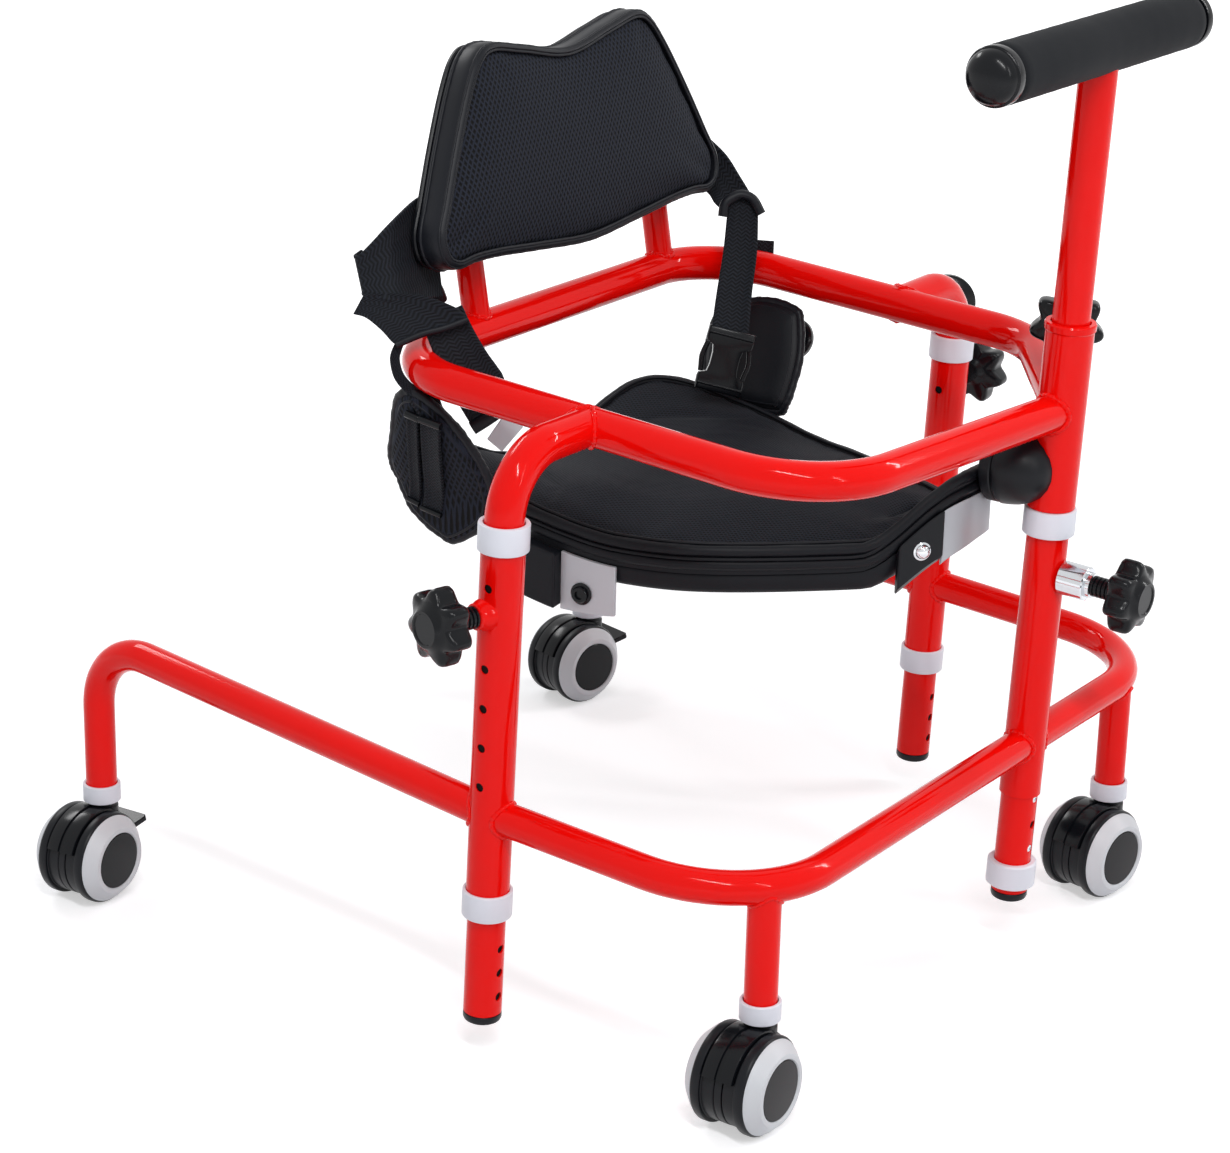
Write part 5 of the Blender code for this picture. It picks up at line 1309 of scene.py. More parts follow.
@dataclass
class BackRest:
    """The back pad with its bound edge and piping, its shell, and the sockets on the posts."""

    half_width: float = 0.161
    bottom: float = 0.0435
    height: float = 0.147
    shift: float = -0.021
    shell: float = 0.005
    pad: float = 0.023
    socket_radius: float = 0.0126
    socket_bore: float = 0.01
    socket_length: float = 0.06
    edge: float = 0.0055

    def outline(self) -> Outline:
        """The bat-wing outline across and up the back's plane."""
        w, low, high = self.half_width, self.bottom, self.bottom + self.height
        half = [
            (0.0, high - 0.014), (0.3, high - 0.0055), (0.5, high), (0.61, high - 0.006),
            (0.71, high - 0.026), (0.83, low + 0.0875), (0.935, low + 0.0545), (1.0, low + 0.033),
            (0.98, low + 0.016), (0.9, low + 0.0085), (0.78, low + 0.0095), (0.62, low + 0.0085),
            (0.36, low + 0.0045), (0.0, low),
        ]
        knots = [(x * w, z, 0.0) for x, z in half + [(-x, z) for x, z in reversed(half[1:-1])]]
        points = [(p.x + self.shift, p.y) for p in flowing(knots, 10, True)]
        return Outline(points, (self.shift, low + self.height * 0.48))

    @property
    def face(self) -> float:
        """Depth of the pad's rear side in the back's frame."""
        return -(self.socket_radius + 2 * LAYOUT.gap) - self.shell

    def rings(self, levels: Levels) -> list[list[Vector]]:
        """Rings of the outline in space.

        Args:
            levels: Inset, share and depth of each ring.

        Returns:
            The rings.
        """
        back, outline = LAYOUT.back(), self.outline()
        return [[back @ Vector((x, depth, z)) for x, z in outline.offset(inset, share)]
                for inset, share, depth in levels]

    def soft_pad(self) -> None:
        """The pad's front of spacer mesh, filled by simulation inside its binding."""
        face, deep = self.face, self.pad
        inner = self.edge - 0.0015
        shape = skin("back_mesh", self.rings([
            (inner + 0.004, 0.97, face - 0.002), (inner, 1.0, face - 0.004),
            (inner, 1.0, face - deep * 0.78), (inner + 0.003, 0.99, face - deep * 0.88),
            (inner, 0.9, face - deep * 0.93), (inner, 0.75, face - deep * 0.96),
            (inner, 0.5, face - deep * 0.97), (inner, 0.25, face - deep * 0.98),
        ]), 80.0)
        inverse = LAYOUT.back().inverted()
        inflate(shape, 0.006, lambda point: (inverse @ point).y > face - deep * 0.6)
        dress(shape, MESH_BACK, Body.BACKREST, "backrest_pad")

    def build(self) -> None:
        """Models and dresses the back rest."""
        body, face, deep = Body.BACKREST, self.face, self.pad
        self.soft_pad()
        binding = skin("back_binding", self.rings([
            (0.003, 1.0, face - 0.0004), (0.0008, 1.0, face - 0.0014), (0.0, 1.0, face - 0.004),
            (0.0, 1.0, face - deep * 0.62), (0.0006, 1.0, face - deep * 0.8),
            (0.0024, 1.0, face - deep * 0.93), (0.0038, 1.0, face - deep * 0.955),
            (self.edge - 0.001, 1.0, face - deep * 0.93), (self.edge, 1.0, face - deep * 0.86),
            (self.edge, 1.0, face - deep * 0.5), (0.004, 1.0, face - 0.003),
        ]), 60.0, loop=True)
        dress(binding, TRIM, body, "backrest_pad")
        cords = []
        for i, (inset, depth, radius) in enumerate(((self.edge, face - deep * 0.9, 0.0011),
                                                    (0.0002, face - 0.0046, 0.0013),
                                                    (0.0014, face - deep * 0.83, 0.001))):
            cords.append(corded(f"cord_{i}", self.rings([(inset, 1.0, depth)])[0], radius, [(0.1, 2.1)]))
        dress(join("back_piping", cords), TRIM, body, "backrest_pad")
        rear = face + self.shell
        shell = skin("back_shell", self.rings([
            (0.01, 0.9, rear - 0.0002), (0.006, 1.0, rear - 0.0002), (0.002, 1.0, rear - 0.0006),
            (0.0008, 1.0, rear - 0.0016), (0.0006, 1.0, rear - 0.0036), (0.0014, 1.0, rear - 0.0046),
            (0.003, 1.0, rear - self.shell + 0.0002), (0.01, 0.9, rear - self.shell + 0.0002),
        ]), 35.0)
        dress(shell, SATIN, body, "backrest_shell")
        back = LAYOUT.back()
        up = back.to_3x3() @ UP
        out = back.to_3x3() @ BACKWARDS
        for side in Side:
            low = LAYOUT.post_length - self.socket_length - 0.01
            foot = back @ Vector((side.value * LAYOUT.post_half, 0.0, low))
            r, bore, length = self.socket_radius - 0.0001, self.socket_bore, self.socket_length
            half = [(bore, 0.0), (r - 0.0006, 0.0), (r, 0.0006), (r, 0.006), (r - 0.0008, 0.0066)]
            ribs = half + [(x, length - z) for x, z in reversed(half)]
            piece = turned(f"post_socket_{side.label}", ribs, frame_at(foot, up), 56)
            dress(piece, SATIN, body, f"backrest_socket_{side.label}")
            spot = foot + up * (length * 0.5) + out * (r - 0.0012)
            profile = [
                (0.0, 0.0), (0.0036, 0.0), (0.0036, 0.0012), (0.0026, 0.0022), (0.0013, 0.0024),
                (0.0011, 0.0012), (0.0, 0.0012),
            ]
            screw = turned(f"socket_screw_{side.label}", profile, frame_at(spot, out), 28)
            dress(screw, CHROME, body)


@dataclass
class Saddle:
    """The saddle: a mesh-covered pad with two stacked piped rolls, and the tray under it."""

    pad: float = 0.02
    tray: float = 0.014
    roll: float = 0.0038
    front_y: float = -0.2245
    rear_y: float = 0.1155

    def outline(self) -> Outline:
        """The saddle's plan outline, nose at -Y."""
        w, front, rear, x0 = LAYOUT.seat_half, self.front_y, self.rear_y, LAYOUT.seat_x
        knots = [
            (0.034, front), (0.0, front + 0.006), (-0.4 * w, front + 0.05), (-0.86 * w, front + 0.128),
            (-w, front + 0.205), (-w, front + 0.268), (-0.8 * w, rear - 0.02),
            (-0.4 * w, rear - 0.002), (0.0, rear), (0.4 * w, rear - 0.002),
            (0.8 * w, rear - 0.02), (w, front + 0.268), (w, front + 0.205),
            (0.86 * w, front + 0.128), (0.62 * w, front + 0.05), (0.062, front + 0.006),
        ]
        points = [(p.x, p.y) for p in flowing([(x + x0, y, 0.0) for x, y in knots], 10, True)]
        return Outline(points, (x0, LAYOUT.seat_y - 0.01))

    def rings(self, levels: Levels) -> list[list[Vector]]:
        """Rings of the outline on the saddle's surface.

        Args:
            levels: Inset, share and depth below the surface of each ring.

        Returns:
            The rings.
        """
        outline = self.outline()
        return [[Vector((x, y, LAYOUT.seat_height(x, y) - depth)) for x, y in outline.offset(inset, share)]
                for inset, share, depth in levels]

    def rolled_edge(self, name: str, inset: float, depth: float, radius: float) -> Object:
        """A stuffed roll round the edge, with slight gathers in its cover."""
        return corded(name, self.rings([(inset, 1.0, depth)])[0], radius, [(0.035, 1.7), (0.025, 0.61)], 4)

    def build(self) -> None:
        """Models and dresses the saddle."""
        body, deep, r = Body.RING, self.pad, self.roll
        inner = 2 * r - 0.0012
        shape = skin("seat_mesh", self.rings([
            (inner + 0.006, 0.4, deep - 0.001), (inner + 0.002, 0.97, deep - 0.001),
            (inner - 0.001, 1.0, deep - 0.003), (inner - 0.001, 1.0, 0.004),
            (inner + 0.001, 1.0, 0.0016), (inner, 0.93, 0.0004), (inner, 0.75, -0.002),
            (inner, 0.5, -0.0036), (inner, 0.25, -0.0044),
        ]), 80.0)
        inflate(shape, 0.005, lambda point: point.z < LAYOUT.seat_height(point.x, point.y) - 0.004)
        dress(shape, MESH_SEAT, body, "seat_pad")
        rolls = [
            self.rolled_edge("upper_roll", r, r + 0.0006, r),
            self.rolled_edge("lower_roll", r, deep - r - 0.0024, r),
            self.rolled_edge("upper_welt", 2 * r - 0.0004, 0.0006, 0.0012),
            self.rolled_edge("middle_welt", 0.0012, deep * 0.5 - 0.001, 0.0012),
        ]
        wall = skin("seat_wall", self.rings([
            (0.0025, 1.0, deep), (0.0025, 1.0, 0.004), (0.008, 1.0, 0.004), (0.008, 1.0, deep),
        ]), 60.0, loop=True)
        dress(join("seat_rolls", [*rolls, wall]), VINYL, body, "seat_pad")
        top = deep + LAYOUT.gap
        tray = skin("seat_under_tray", self.rings([
            (0.004, 0.4, top + self.tray * 0.62), (0.004, 0.8, top + self.tray * 0.74),
            (0.01, 0.95, top + self.tray * 0.96), (0.0085, 1.0, top + self.tray),
            (0.006, 1.0, top + self.tray * 0.93), (0.0044, 1.0, top + self.tray * 0.75),
            (0.0036, 1.0, top + 0.003), (0.004, 1.0, top + 0.0006), (0.005, 1.0, top),
            (0.01, 0.9, top), (0.01, 0.4, top),
        ]), 50.0)
        dress(tray, VINYL, body, "seat_tray")


@dataclass
class SeatFittings:
    """The plates, blocks, bolts and rivet under the pad's edge, and the pommel at the nose."""

    under: float = 0.0208
    hold: float = 0.0026
    plate: float = 0.003
    bracket: float = 0.006
    block: float = 0.011
    pommel_x: float = 0.054

    def edge(self, distance: float) -> tuple[Vector, Vector]:
        """A place and an outward direction on the saddle's edge.

        Args:
            distance: Distance from the nose along the edge, positive on the near side.

        Returns:
            The point and the direction.
        """
        points = [Vector((x, y, 0.0)) for x, y in Saddle().outline().points]
        if distance < 0:
            points = [points[0], *reversed(points[1:])]
        left = abs(distance)
        for here, there in zip(points, points[1:]):
            step = (there - here).length
            if left <= step:
                along = (there - here).normalized()
                out = Vector((along.y, -along.x, 0.0))
                point = here.lerp(there, left / step)
                middle = Vector((LAYOUT.seat_x, LAYOUT.seat_y, 0.0))
                return point, out if out.dot(point - middle) > 0 else -out
            left -= step
        return points[-1], BACKWARDS

    def strip(self, name: str, span: tuple[float, float], lows: tuple[float, float], thickness: float,
              bevel: float) -> Object:
        """A plate that follows the saddle's edge under the pad, on the hold's line.

        Args:
            name: The piece's name.
            span: Where it starts and ends along the edge.
            lows: How far its lower edge lies below the pad's underside at both ends.
            thickness: Its thickness.
            bevel: The rounding of its edges.

        Returns:
            The plate.
        """
        lows = (self.under + lows[0], self.under + lows[1])
        steps = 14
        rings = []
        for i in range(steps + 1):
            share = i / steps
            point, out = self.edge(span[0] + (span[1] - span[0]) * share)
            low = lows[0] * (1 - share) + lows[1] * share
            inner = point - out * self.hold
            outer = inner + out * thickness
            rings.append([Vector((q.x, q.y, LAYOUT.seat_height(q.x, q.y) - d)) for q, d in
                          ((inner, low), (outer, low), (outer, self.under), (inner, self.under))])
        piece = skin(name, rings, 40.0)
        refine(piece, "BEVEL", width=bevel, segments=3, limit_method="ANGLE", angle_limit=radians(50))
        return smooth(piece, 40.0)

    def head(self, name: str, distance: float, depth: float, inset: float, profile: Profile) -> Object:
        """A bolt or rivet head on the outer face of a strip."""
        point, out = self.edge(distance)
        place = point - out * inset
        place.z = LAYOUT.seat_height(point.x, point.y) - depth
        return turned(name, profile, frame_at(place, out), 40)

    def pommel(self) -> None:
        """The smooth pommel between the saddle's nose and the sleeve, with its band."""
        r, front = 0.026, Saddle().front_y
        reach = front - LAYOUT.mast(LAYOUT.pommel_z).y
        profile = [
            (0.0, -0.0007), (r * 0.84, -0.0007), (r * 0.95, -0.0014), (r * 0.985, -0.0026),
            (r * 0.985, -0.0088), (r * 0.96, -0.0098), (r * 0.94, -0.01), (r * 0.985, -0.0112),
            (r, -0.0126), (r * 0.985, -reach * 0.45), (r * 0.94, -reach * 0.62), (r * 0.84, -reach * 0.8),
            (r * 0.66, -reach * 0.98), (r * 0.42, -reach * 1.1), (r * 0.2, -reach * 1.15),
            (0.0, -reach * 1.16),
        ]
        place = frame_at(Vector((self.pommel_x, front, LAYOUT.pommel_z)), BACKWARDS)
        piece = turned("pommel_body", profile, place, 72)
        ends = [LAYOUT.mast(LAYOUT.pommel_z + step) for step in (-0.06, 0.06)]
        seat = tube("seat", ends, RingFrame().sleeve_radius + 0.0004, resolution=8)
        dress(smooth(cut(piece, seat), 45.0), SATIN, Body.RING, "seat_pommel")

    def build(self) -> None:
        """Models and dresses the fittings."""
        body = Body.RING
        under, hold = self.under, self.hold
        rivet = [
            (0.0, 0.0), (0.0062, 0.0), (0.0062, 0.0006), (0.005, 0.0012), (0.0046, 0.0024), (0.0036, 0.0036),
            (0.0018, 0.0042), (0.0, 0.0044),
        ]
        bolt = [
            (0.0, 0.0), (0.0075, 0.0), (0.0075, 0.0009), (0.0056, 0.0012), (0.0056, 0.0034), (0.005, 0.0042),
            (0.003, 0.0042), (0.0028, 0.0026), (0.0, 0.0026),
        ]
        plate = self.strip("nose_side_plate", (-0.016, 0.036), (0.03, 0.036), self.plate, 0.0007)
        dress(plate, GREY, body, "nose_plate")
        bracket = self.strip("nose_bracket", (0.0365, 0.068), (0.032, 0.03), self.bracket, 0.0014)
        dress(bracket, SATIN, body, "front_bracket")
        head = self.head("nose_rivet", 0.05225, under + 0.014, hold - self.bracket + 0.0002, rivet)
        dress(head, CHROME, body, "front_bracket")
        for side in Side:
            sign, label = -side.value, side.label
            start, end = sign * 0.254, sign * 0.294
            plate = self.strip(f"side_plate_{label}", (start, end), (0.034, 0.04), self.plate, 0.0007)
            dress(plate, GREY, body, f"side_bracket_{label}")
            distance = start * 0.4 + end * 0.6
            head = self.head(f"plate_bolt_{label}", distance, under + 0.024, hold - self.plate - 0.0003, bolt)
            dress(head, BLACK, body, f"side_bolt_{label}")
            span = (sign * 0.2945, sign * 0.32)
            block = self.strip(f"edge_block_{label}", span, (0.038, 0.038), self.block, 0.0016)
            dress(block, VINYL, body, f"side_block_{label}")
        self.pommel()


@dataclass
class SideWing:
    """A padded side wing between the saddle and the ring, with bound edges."""

    side: Side
    thickness: float = 0.014
    bottom_z: float = 0.325
    top_z: float = 0.3925

    def place(self) -> tuple[Matrix, float]:
        """The wing's placing, local X along the walker and local Z up its slope, and its height."""
        near = self.side is Side.NEAR
        y = 0.07 if near else 0.037
        stand = 0.0155 if near else 0.008
        sign = self.side.value
        foot = Vector((LAYOUT.seat_x + sign * (LAYOUT.seat_half + 0.0004 + stand), y, self.bottom_z))
        head = Vector((sign * (LAYOUT.ring_half - 0.004), y, self.top_z))
        return frame_at(foot, head - foot, (0.0, 1.0, 0.0)), (head - foot).length

    def outline(self) -> Outline:
        """The wing's outline in its own plane."""
        _, height = self.place()
        if self.side is Side.NEAR:
            knots = [
                (0.02, 0.0728), (0.004, 0.0824), (-0.012, 0.0752), (-0.027, 0.0596),
                (-0.0355, 0.044), (-0.041, 0.029), (-0.043, 0.011), (-0.038, -0.015),
                (-0.01, -0.0365), (0.008, -0.034), (0.028, -0.0226), (0.037, -0.01),
                (0.043, 0.004), (0.043, 0.019), (0.0326, 0.045),
            ]
        else:
            knots = [
                (0.036, 0.009), (0.041, 0.028), (0.039, 0.059), (0.016, 0.07), (-0.004, 0.074),
                (-0.027, 0.0706), (-0.035, 0.06), (-0.042, 0.035), (-0.0425, 0.009),
                (-0.04, -0.004), (-0.033, -0.01), (0.0, -0.011), (0.027, -0.005),
            ]
        line = flowing([(x, z, 0.0) for x, z in knots], 9, True)
        return Outline([(p.x, p.y) for p in line], (0.0, 0.4 * height))

    def at(self, x: float, depth: float, z: float) -> Vector:
        """A point of the wing in space: below its foot it hangs straight down."""
        matrix, _ = self.place()
        return matrix @ Vector((x, depth, max(0.0, z))) + Vector((0.0, 0.0, min(0.0, z)))

    def rings(self, levels: Levels) -> list[list[Vector]]:
        """Rings of the outline in space from (inset, share, depth) levels."""
        outline = self.outline()
        return [[self.at(x, depth, z) for x, z in outline.offset(inset, share)]
                for inset, share, depth in levels]

    def build(self) -> None:
        """Models and dresses the wing."""
        body, node, thick = Body.RING, f"seat_wing_{self.side.label}", self.thickness / 2
        shape = skin(f"wing_{self.side.label}", self.rings([
            (0.004, 0.35, -thick * 0.92), (0.004, 0.65, -thick * 0.9), (0.004, 0.88, -thick * 0.78),
            (0.005, 1.0, -thick * 0.52), (0.0032, 1.0, -thick * 0.25), (0.0032, 1.0, thick * 0.25),
            (0.005, 1.0, thick * 0.52), (0.004, 0.88, thick * 0.78), (0.004, 0.65, thick * 0.9),
            (0.004, 0.35, thick * 0.92),
        ]), 80.0)
        dress(shape, MESH_WING if self.side is Side.NEAR else VINYL, body, node)
        welt = thick * 0.6
        edge, *welts = self.rings([(0.003, 1.0, 0.0), (0.0078, 1.0, -welt), (0.0078, 1.0, welt)])
        cords = [corded("bound_edge", edge, 0.0031, [(0.06, 1.9), (0.05, 0.7)], 3)]
        cords += [corded("edge_welt", welt, 0.001) for welt in welts]
        dress(join(f"wing_piping_{self.side.label}", cords), TRIM, body, node)
        if self.side is Side.NEAR:
            self.belt_loops()

    def belt_loops(self) -> None:
        """Two upright belt loops on the outer face, with folded glossy tops."""
        matrix, _ = self.place()
        outward = 1.0 if (matrix.to_3x3() @ BACKWARDS).x < 0 else -1.0
        deep = self.thickness / 2 * 0.92
        face = matrix.to_3x3() @ Vector((0.0, outward, 0.0))
        ends = (((0.001, 0.0665), (0.0212, -0.008), 0.009), ((-0.0128, 0.0645), (0.0062, -0.012), 0.015))
        lifts = ((0.0, 0.0016), (0.12, 0.0026), (0.45, 0.0028), (0.8, 0.0022), (0.95, 0.0012), (1.0, 0.0002))
        for i, (head, foot, width) in enumerate(ends):
            rows = []
            for share, lift in lifts:
                x, z = (h + (f - h) * share for h, f in zip(head, foot))
                rows.append(self.at(x, outward * (deep + lift), z))
            loop = Band(f"belt_loop_{i}", 0.003).along(flowing(rows, 4), face, width)
            dress(loop, WEBBING, Body.RING, "seat_wing_near")
            folds = []
            for k, (x, z) in enumerate((head, foot)):
                spots = [self.at(x + a * width * 0.56, outward * (deep + 0.0024), z + a * 0.0012)
                         for a in (-1, 0, 1)]
                folds.append(tube("fold", spots, 0.0026 - 0.0008 * k, resolution=4))
            fold = join(f"loop_top_{i}", folds)
            refine(fold, "BEVEL", width=0.001, segments=3, limit_method="ANGLE")
            dress(smooth(fold, 40.0), BLACK, Body.RING, "seat_wing_near")


@dataclass
class Band:
    """A flat strap of webbing with bound edges."""

    name: str
    thickness: float = 0.0024
    hem: float = 0.0018

    def along(self, centre: Sequence[Vector], face: Vector, width: float) -> Object:
        """Sweeps the strap along a line.

        Args:
            centre: Points of its middle line.
            face: The direction that it looks to.
            width: Its width.

        Returns:
            The strap.
        """
        rails = []
        for i, point in enumerate(centre):
            along = (centre[min(i + 1, len(centre) - 1)] - centre[max(i - 1, 0)]).normalized()
            up = (face - along * face.dot(along)).normalized()
            half = along.cross(up) * width / 2
            rails.append((point - half, point + half))
        return self.between(rails)

    def between(self, rails: Sequence[tuple[Vector, Vector]]) -> Object:
        """Sweeps the strap between its two edges, with a map of metres along and shares across.

        Args:
            rails: The places of the left and right edge at each step.

        Returns:
            The strap.
        """
        middles = [(left + right) / 2 for left, right in rails]
        t, hem = self.thickness / 2, self.hem
        rings, map_of, length = [], {}, 0.0
        for i, (left, right) in enumerate(rails):
            along = (middles[min(i + 1, len(rails) - 1)] - middles[max(i - 1, 0)]).normalized()
            across = (right - left).normalized()
            up = across.cross(along).normalized()
            w = (right - left).length / 2
            length += (middles[i] - middles[i - 1]).length if i else 0.0
            inner = t * 0.72
            half = [(w, t * 0.6), (w - hem * 0.3, t), (w - hem, t), (w - hem * 1.3, inner), (0.0, inner)]
            top = half + [(-a, b) for a, b in reversed(half[:-1])]
            section = top + [(a, -b) for a, b in reversed(top)]
            ring = [middles[i] + across * a + up * b for a, b in section]
            for corner, (a, _) in zip(ring, section):
                map_of[tuple(corner)] = (length, 0.5 + a / (2 * w))
            rings.append(ring)
        piece = skin(self.name, rings, 45.0)
        layer = piece.data.uv_layers.new(name="strap")
        for loop in piece.data.loops:
            corner = tuple(piece.data.vertices[loop.vertex_index].co)
            layer.data[loop.index].uv = map_of.get(corner, (0.0, 0.5))
        return piece


@dataclass
class Straps:
    """The webbing between back pad, ring and wings, its buckle and the grey tongue."""

    buckle: tuple[float, float, float] = (0.1165, 0.03, 0.359)
    buckle_size: tuple[float, float, float] = (0.0345, 0.046, 0.008)
    knob: tuple[float, float] = (-0.018, 0.37)
    near_give: Give = Give((-0.15, 0.029, 0.385), (-0.15, 0.09, 0.447))
    far_give: Give = Give((0.135, 0.045, 0.385), (0.135, 0.045, 0.455))

    def flat(self, name: str, left: Points, right: Points) -> Object:
        """A run of strap between two flowing edges."""
        return Band(name).between(list(zip(flowing(left, 6), flowing(right, 6))))

    def near(self) -> None:
        """The near strap: out from behind the pad, folded back at a patch, and down inside the ring."""
        pieces = [
            self.flat("near_upper", [
                (-0.1288, 0.1042, 0.5147), (-0.1471, 0.1037, 0.5121), (-0.1803, 0.1001, 0.501),
                (-0.193, 0.1095, 0.4855), (-0.1925, 0.115, 0.4835), (-0.185, 0.116, 0.485),
            ], [
                (-0.1309, 0.0923, 0.4472), (-0.1427, 0.0929, 0.448), (-0.1828, 0.0868, 0.4545),
                (-0.1942, 0.1012, 0.4585), (-0.1935, 0.107, 0.458), (-0.186, 0.108, 0.457),
            ]),
            self.flat("near_patch", [
                (-0.1979, 0.1032, 0.4605), (-0.1856, 0.0886, 0.4612), (-0.1739, 0.0733, 0.4595),
                (-0.1628, 0.0566, 0.4527), (-0.1589, 0.049, 0.446),
            ], [
                (-0.2045, 0.1068, 0.448), (-0.1998, 0.1, 0.4456), (-0.1953, 0.0913, 0.4382),
                (-0.1927, 0.0852, 0.4314), (-0.1912, 0.0823, 0.429),
            ]),
            self.flat("near_lower", [
                (-0.1728, 0.0765, 0.4413), (-0.172, 0.0696, 0.4271), (-0.1702, 0.057, 0.4022),
                (-0.1677, 0.0482, 0.3885), (-0.1656, 0.0408, 0.3772), (-0.1648, 0.0385, 0.3735),
            ], [
                (-0.1541, 0.0577, 0.4521), (-0.1524, 0.0491, 0.4366), (-0.1499, 0.0403, 0.4229),
                (-0.1476, 0.0338, 0.4142), (-0.1463, 0.029, 0.4067), (-0.1462, 0.024, 0.389),
            ]),
            self.flat("near_wrap", [
                (-0.1872, 0.0855, 0.4302), (-0.1906, 0.0869, 0.4233), (-0.1923, 0.0864, 0.4171),
                (-0.1927, 0.0827, 0.4071), (-0.1903, 0.0764, 0.3991), (-0.1865, 0.0696, 0.3941),
            ], [
                (-0.183, 0.0807, 0.4314), (-0.186, 0.0816, 0.4246), (-0.188, 0.0816, 0.4184),
                (-0.1882, 0.0781, 0.4097), (-0.1855, 0.072, 0.4028), (-0.1821, 0.0665, 0.3998),
            ]),
            self.flat("near_hanger", [
                (-0.1884, 0.078, 0.403), (-0.1884, 0.0738, 0.3931), (-0.1862, 0.0665, 0.3819),
            ], [
                (-0.1772, 0.063, 0.4006), (-0.1757, 0.0575, 0.3919), (-0.176, 0.0506, 0.3744),
            ]),
        ]
        dress(join("webbing_near", pieces), WEBBING, self.near_give, "near_strap")
        # Name, knots, points for each span, radius and resolution of each fold.
        rolls = [
            ("hem", [(-0.1912, 0.0823, 0.429), (-0.1794, 0.0704, 0.4359), (-0.1694, 0.0595, 0.4397),
                     (-0.1589, 0.0488, 0.4452)], 8, 0.0024, 3),
            ("end_loop", [(-0.1655, 0.0398, 0.3752), (-0.1588, 0.033, 0.3812), (-0.1521, 0.0276, 0.3868)],
             6, 0.0046, 4),
            ("inner_roll", [(-0.133, 0.0955, 0.449), (-0.1225, 0.1085, 0.4505), (-0.1126, 0.116, 0.4496),
                            (-0.1061, 0.116, 0.4421), (-0.1018, 0.116, 0.4343)], 6, 0.0045, 4),
        ]
        folds = join("webbing_near_folds", [
            smooth(tube(name, flowing(knots, span), radius, resolution=resolution), 60.0)
            for name, knots, span, radius, resolution in rolls
        ])
        dress(folds, TRIM, self.near_give, "near_strap")
        corners = [(-0.1609, 0.0313, 0.3685), (-0.1515, 0.0256, 0.3829), (-0.1434, 0.015, 0.376),
                   (-0.155, 0.0235, 0.36)]
        face = Vector((-0.75, -0.6, 0.25)).normalized()
        rings = [[Vector(corner) + face * h for corner in corners] for h in (-0.0012, 0.0012)]
        tongue = skin("strap_tongue", rings, 30.0)
        refine(tongue, "BEVEL", width=0.0007, segments=3, limit_method="ANGLE")
        dress(smooth(tongue, 40.0), GREY, Body.RING, "strap_plate")

    def far(self) -> None:
        """The far strap: wide from the pad to a rolled keeper, then upright down to the buckle."""
        pieces = [
            self.flat("far_upper", [
                (0.1748, 0.0891, 0.5033), (0.1776, 0.0741, 0.4912), (0.181, 0.0636, 0.476),
                (0.183, 0.0567, 0.4657), (0.1843, 0.0516, 0.4583), (0.164, 0.0372, 0.4648),
            ], [
                (0.1678, 0.0891, 0.4673), (0.1673, 0.0816, 0.4633), (0.1658, 0.0764, 0.4586),
                (0.1669, 0.0724, 0.4551), (0.1691, 0.0686, 0.4524), (0.15, 0.052, 0.4646),
            ]),
            self.flat("far_drop", [
                (0.1478, 0.0508, 0.4675), (0.1445, 0.0507, 0.4572), (0.1375, 0.0485, 0.431),
                (0.1262, 0.0455, 0.4045), (0.115, 0.0415, 0.38),
            ], [
                (0.1599, 0.0357, 0.4676), (0.1584, 0.0334, 0.4573), (0.1528, 0.0295, 0.4312),
                (0.1421, 0.0256, 0.4046), (0.1315, 0.0205, 0.378),
            ]),
            self.flat("far_tail", [(0.1905, 0.06, 0.429), (0.189, 0.059, 0.414)],
                      [(0.2011, 0.0459, 0.428), (0.1995, 0.0449, 0.414)]),
        ]
        dress(join("webbing_far", pieces), WEBBING, self.far_give, "far_strap")
        keeper = tube("far_keeper", flowing([
            (0.1395, 0.051, 0.457), (0.1418, 0.0508, 0.466), (0.1467, 0.0468, 0.4705),
            (0.151, 0.042, 0.472), (0.155, 0.0357, 0.4686), (0.157, 0.03, 0.459),
        ], 8), 0.0036, resolution=4)
        dress(smooth(keeper, 60.0), TRIM, Body.BACKREST, "far_strap")

    def side_release_buckle(self) -> None:
        """The buckle: a waisted socket, two sprung arms in its side windows and a strap bar below."""
        facing = Vector((-0.75, -0.6, 0.2)).normalized()
        width, height, depth = self.buckle_size
        place = frame_at(Vector(self.buckle) - facing * depth / 2, facing, (0.38, 0.0, 0.925))
        w, h = width / 2, height / 2
        half = [
            (0.98 * w, -h), (w, -0.62 * h), (0.96 * w, -0.5 * h), (0.66 * w, -0.42 * h), (0.6 * w, -0.2 * h),
            (0.6 * w, 0.2 * h), (0.66 * w, 0.42 * h), (0.96 * w, 0.52 * h), (w, 0.62 * h), (0.98 * w, h),
        ]
        outline = [(z, x) for x, z in half] + [(z, -x) for x, z in reversed(half)]
        levels = ((0.0, 0.94), (0.0008, 1.0), (depth - 0.0016, 1.0), (depth - 0.0004, 0.95), (depth, 0.88))
        rings = [[place @ Vector((x * (0.5 + shrink * 0.5), y * shrink, level)) for x, y in outline]
                 for level, shrink in levels]
        pieces = [skin("buckle_socket", rings, 40.0)]
        for sign in (-1, 1):
            path = [place @ Vector((x * h, sign * y * w, depth * 0.45)) for x, y in
                    ((-0.46, 0.9), (-0.3, 0.93), (0.0, 0.99), (0.3, 0.93), (0.46, 0.88))]
            pieces.append(tube("arm", flowing(path, 6), 0.0019, resolution=4))
        for at in (-0.8, 0.8):
            ends = [place @ Vector((at * h, sign * w * 0.93, depth * 0.86)) for sign in (-1, 1)]
            pieces.append(tube("bar", ends, 0.0016, resolution=4))
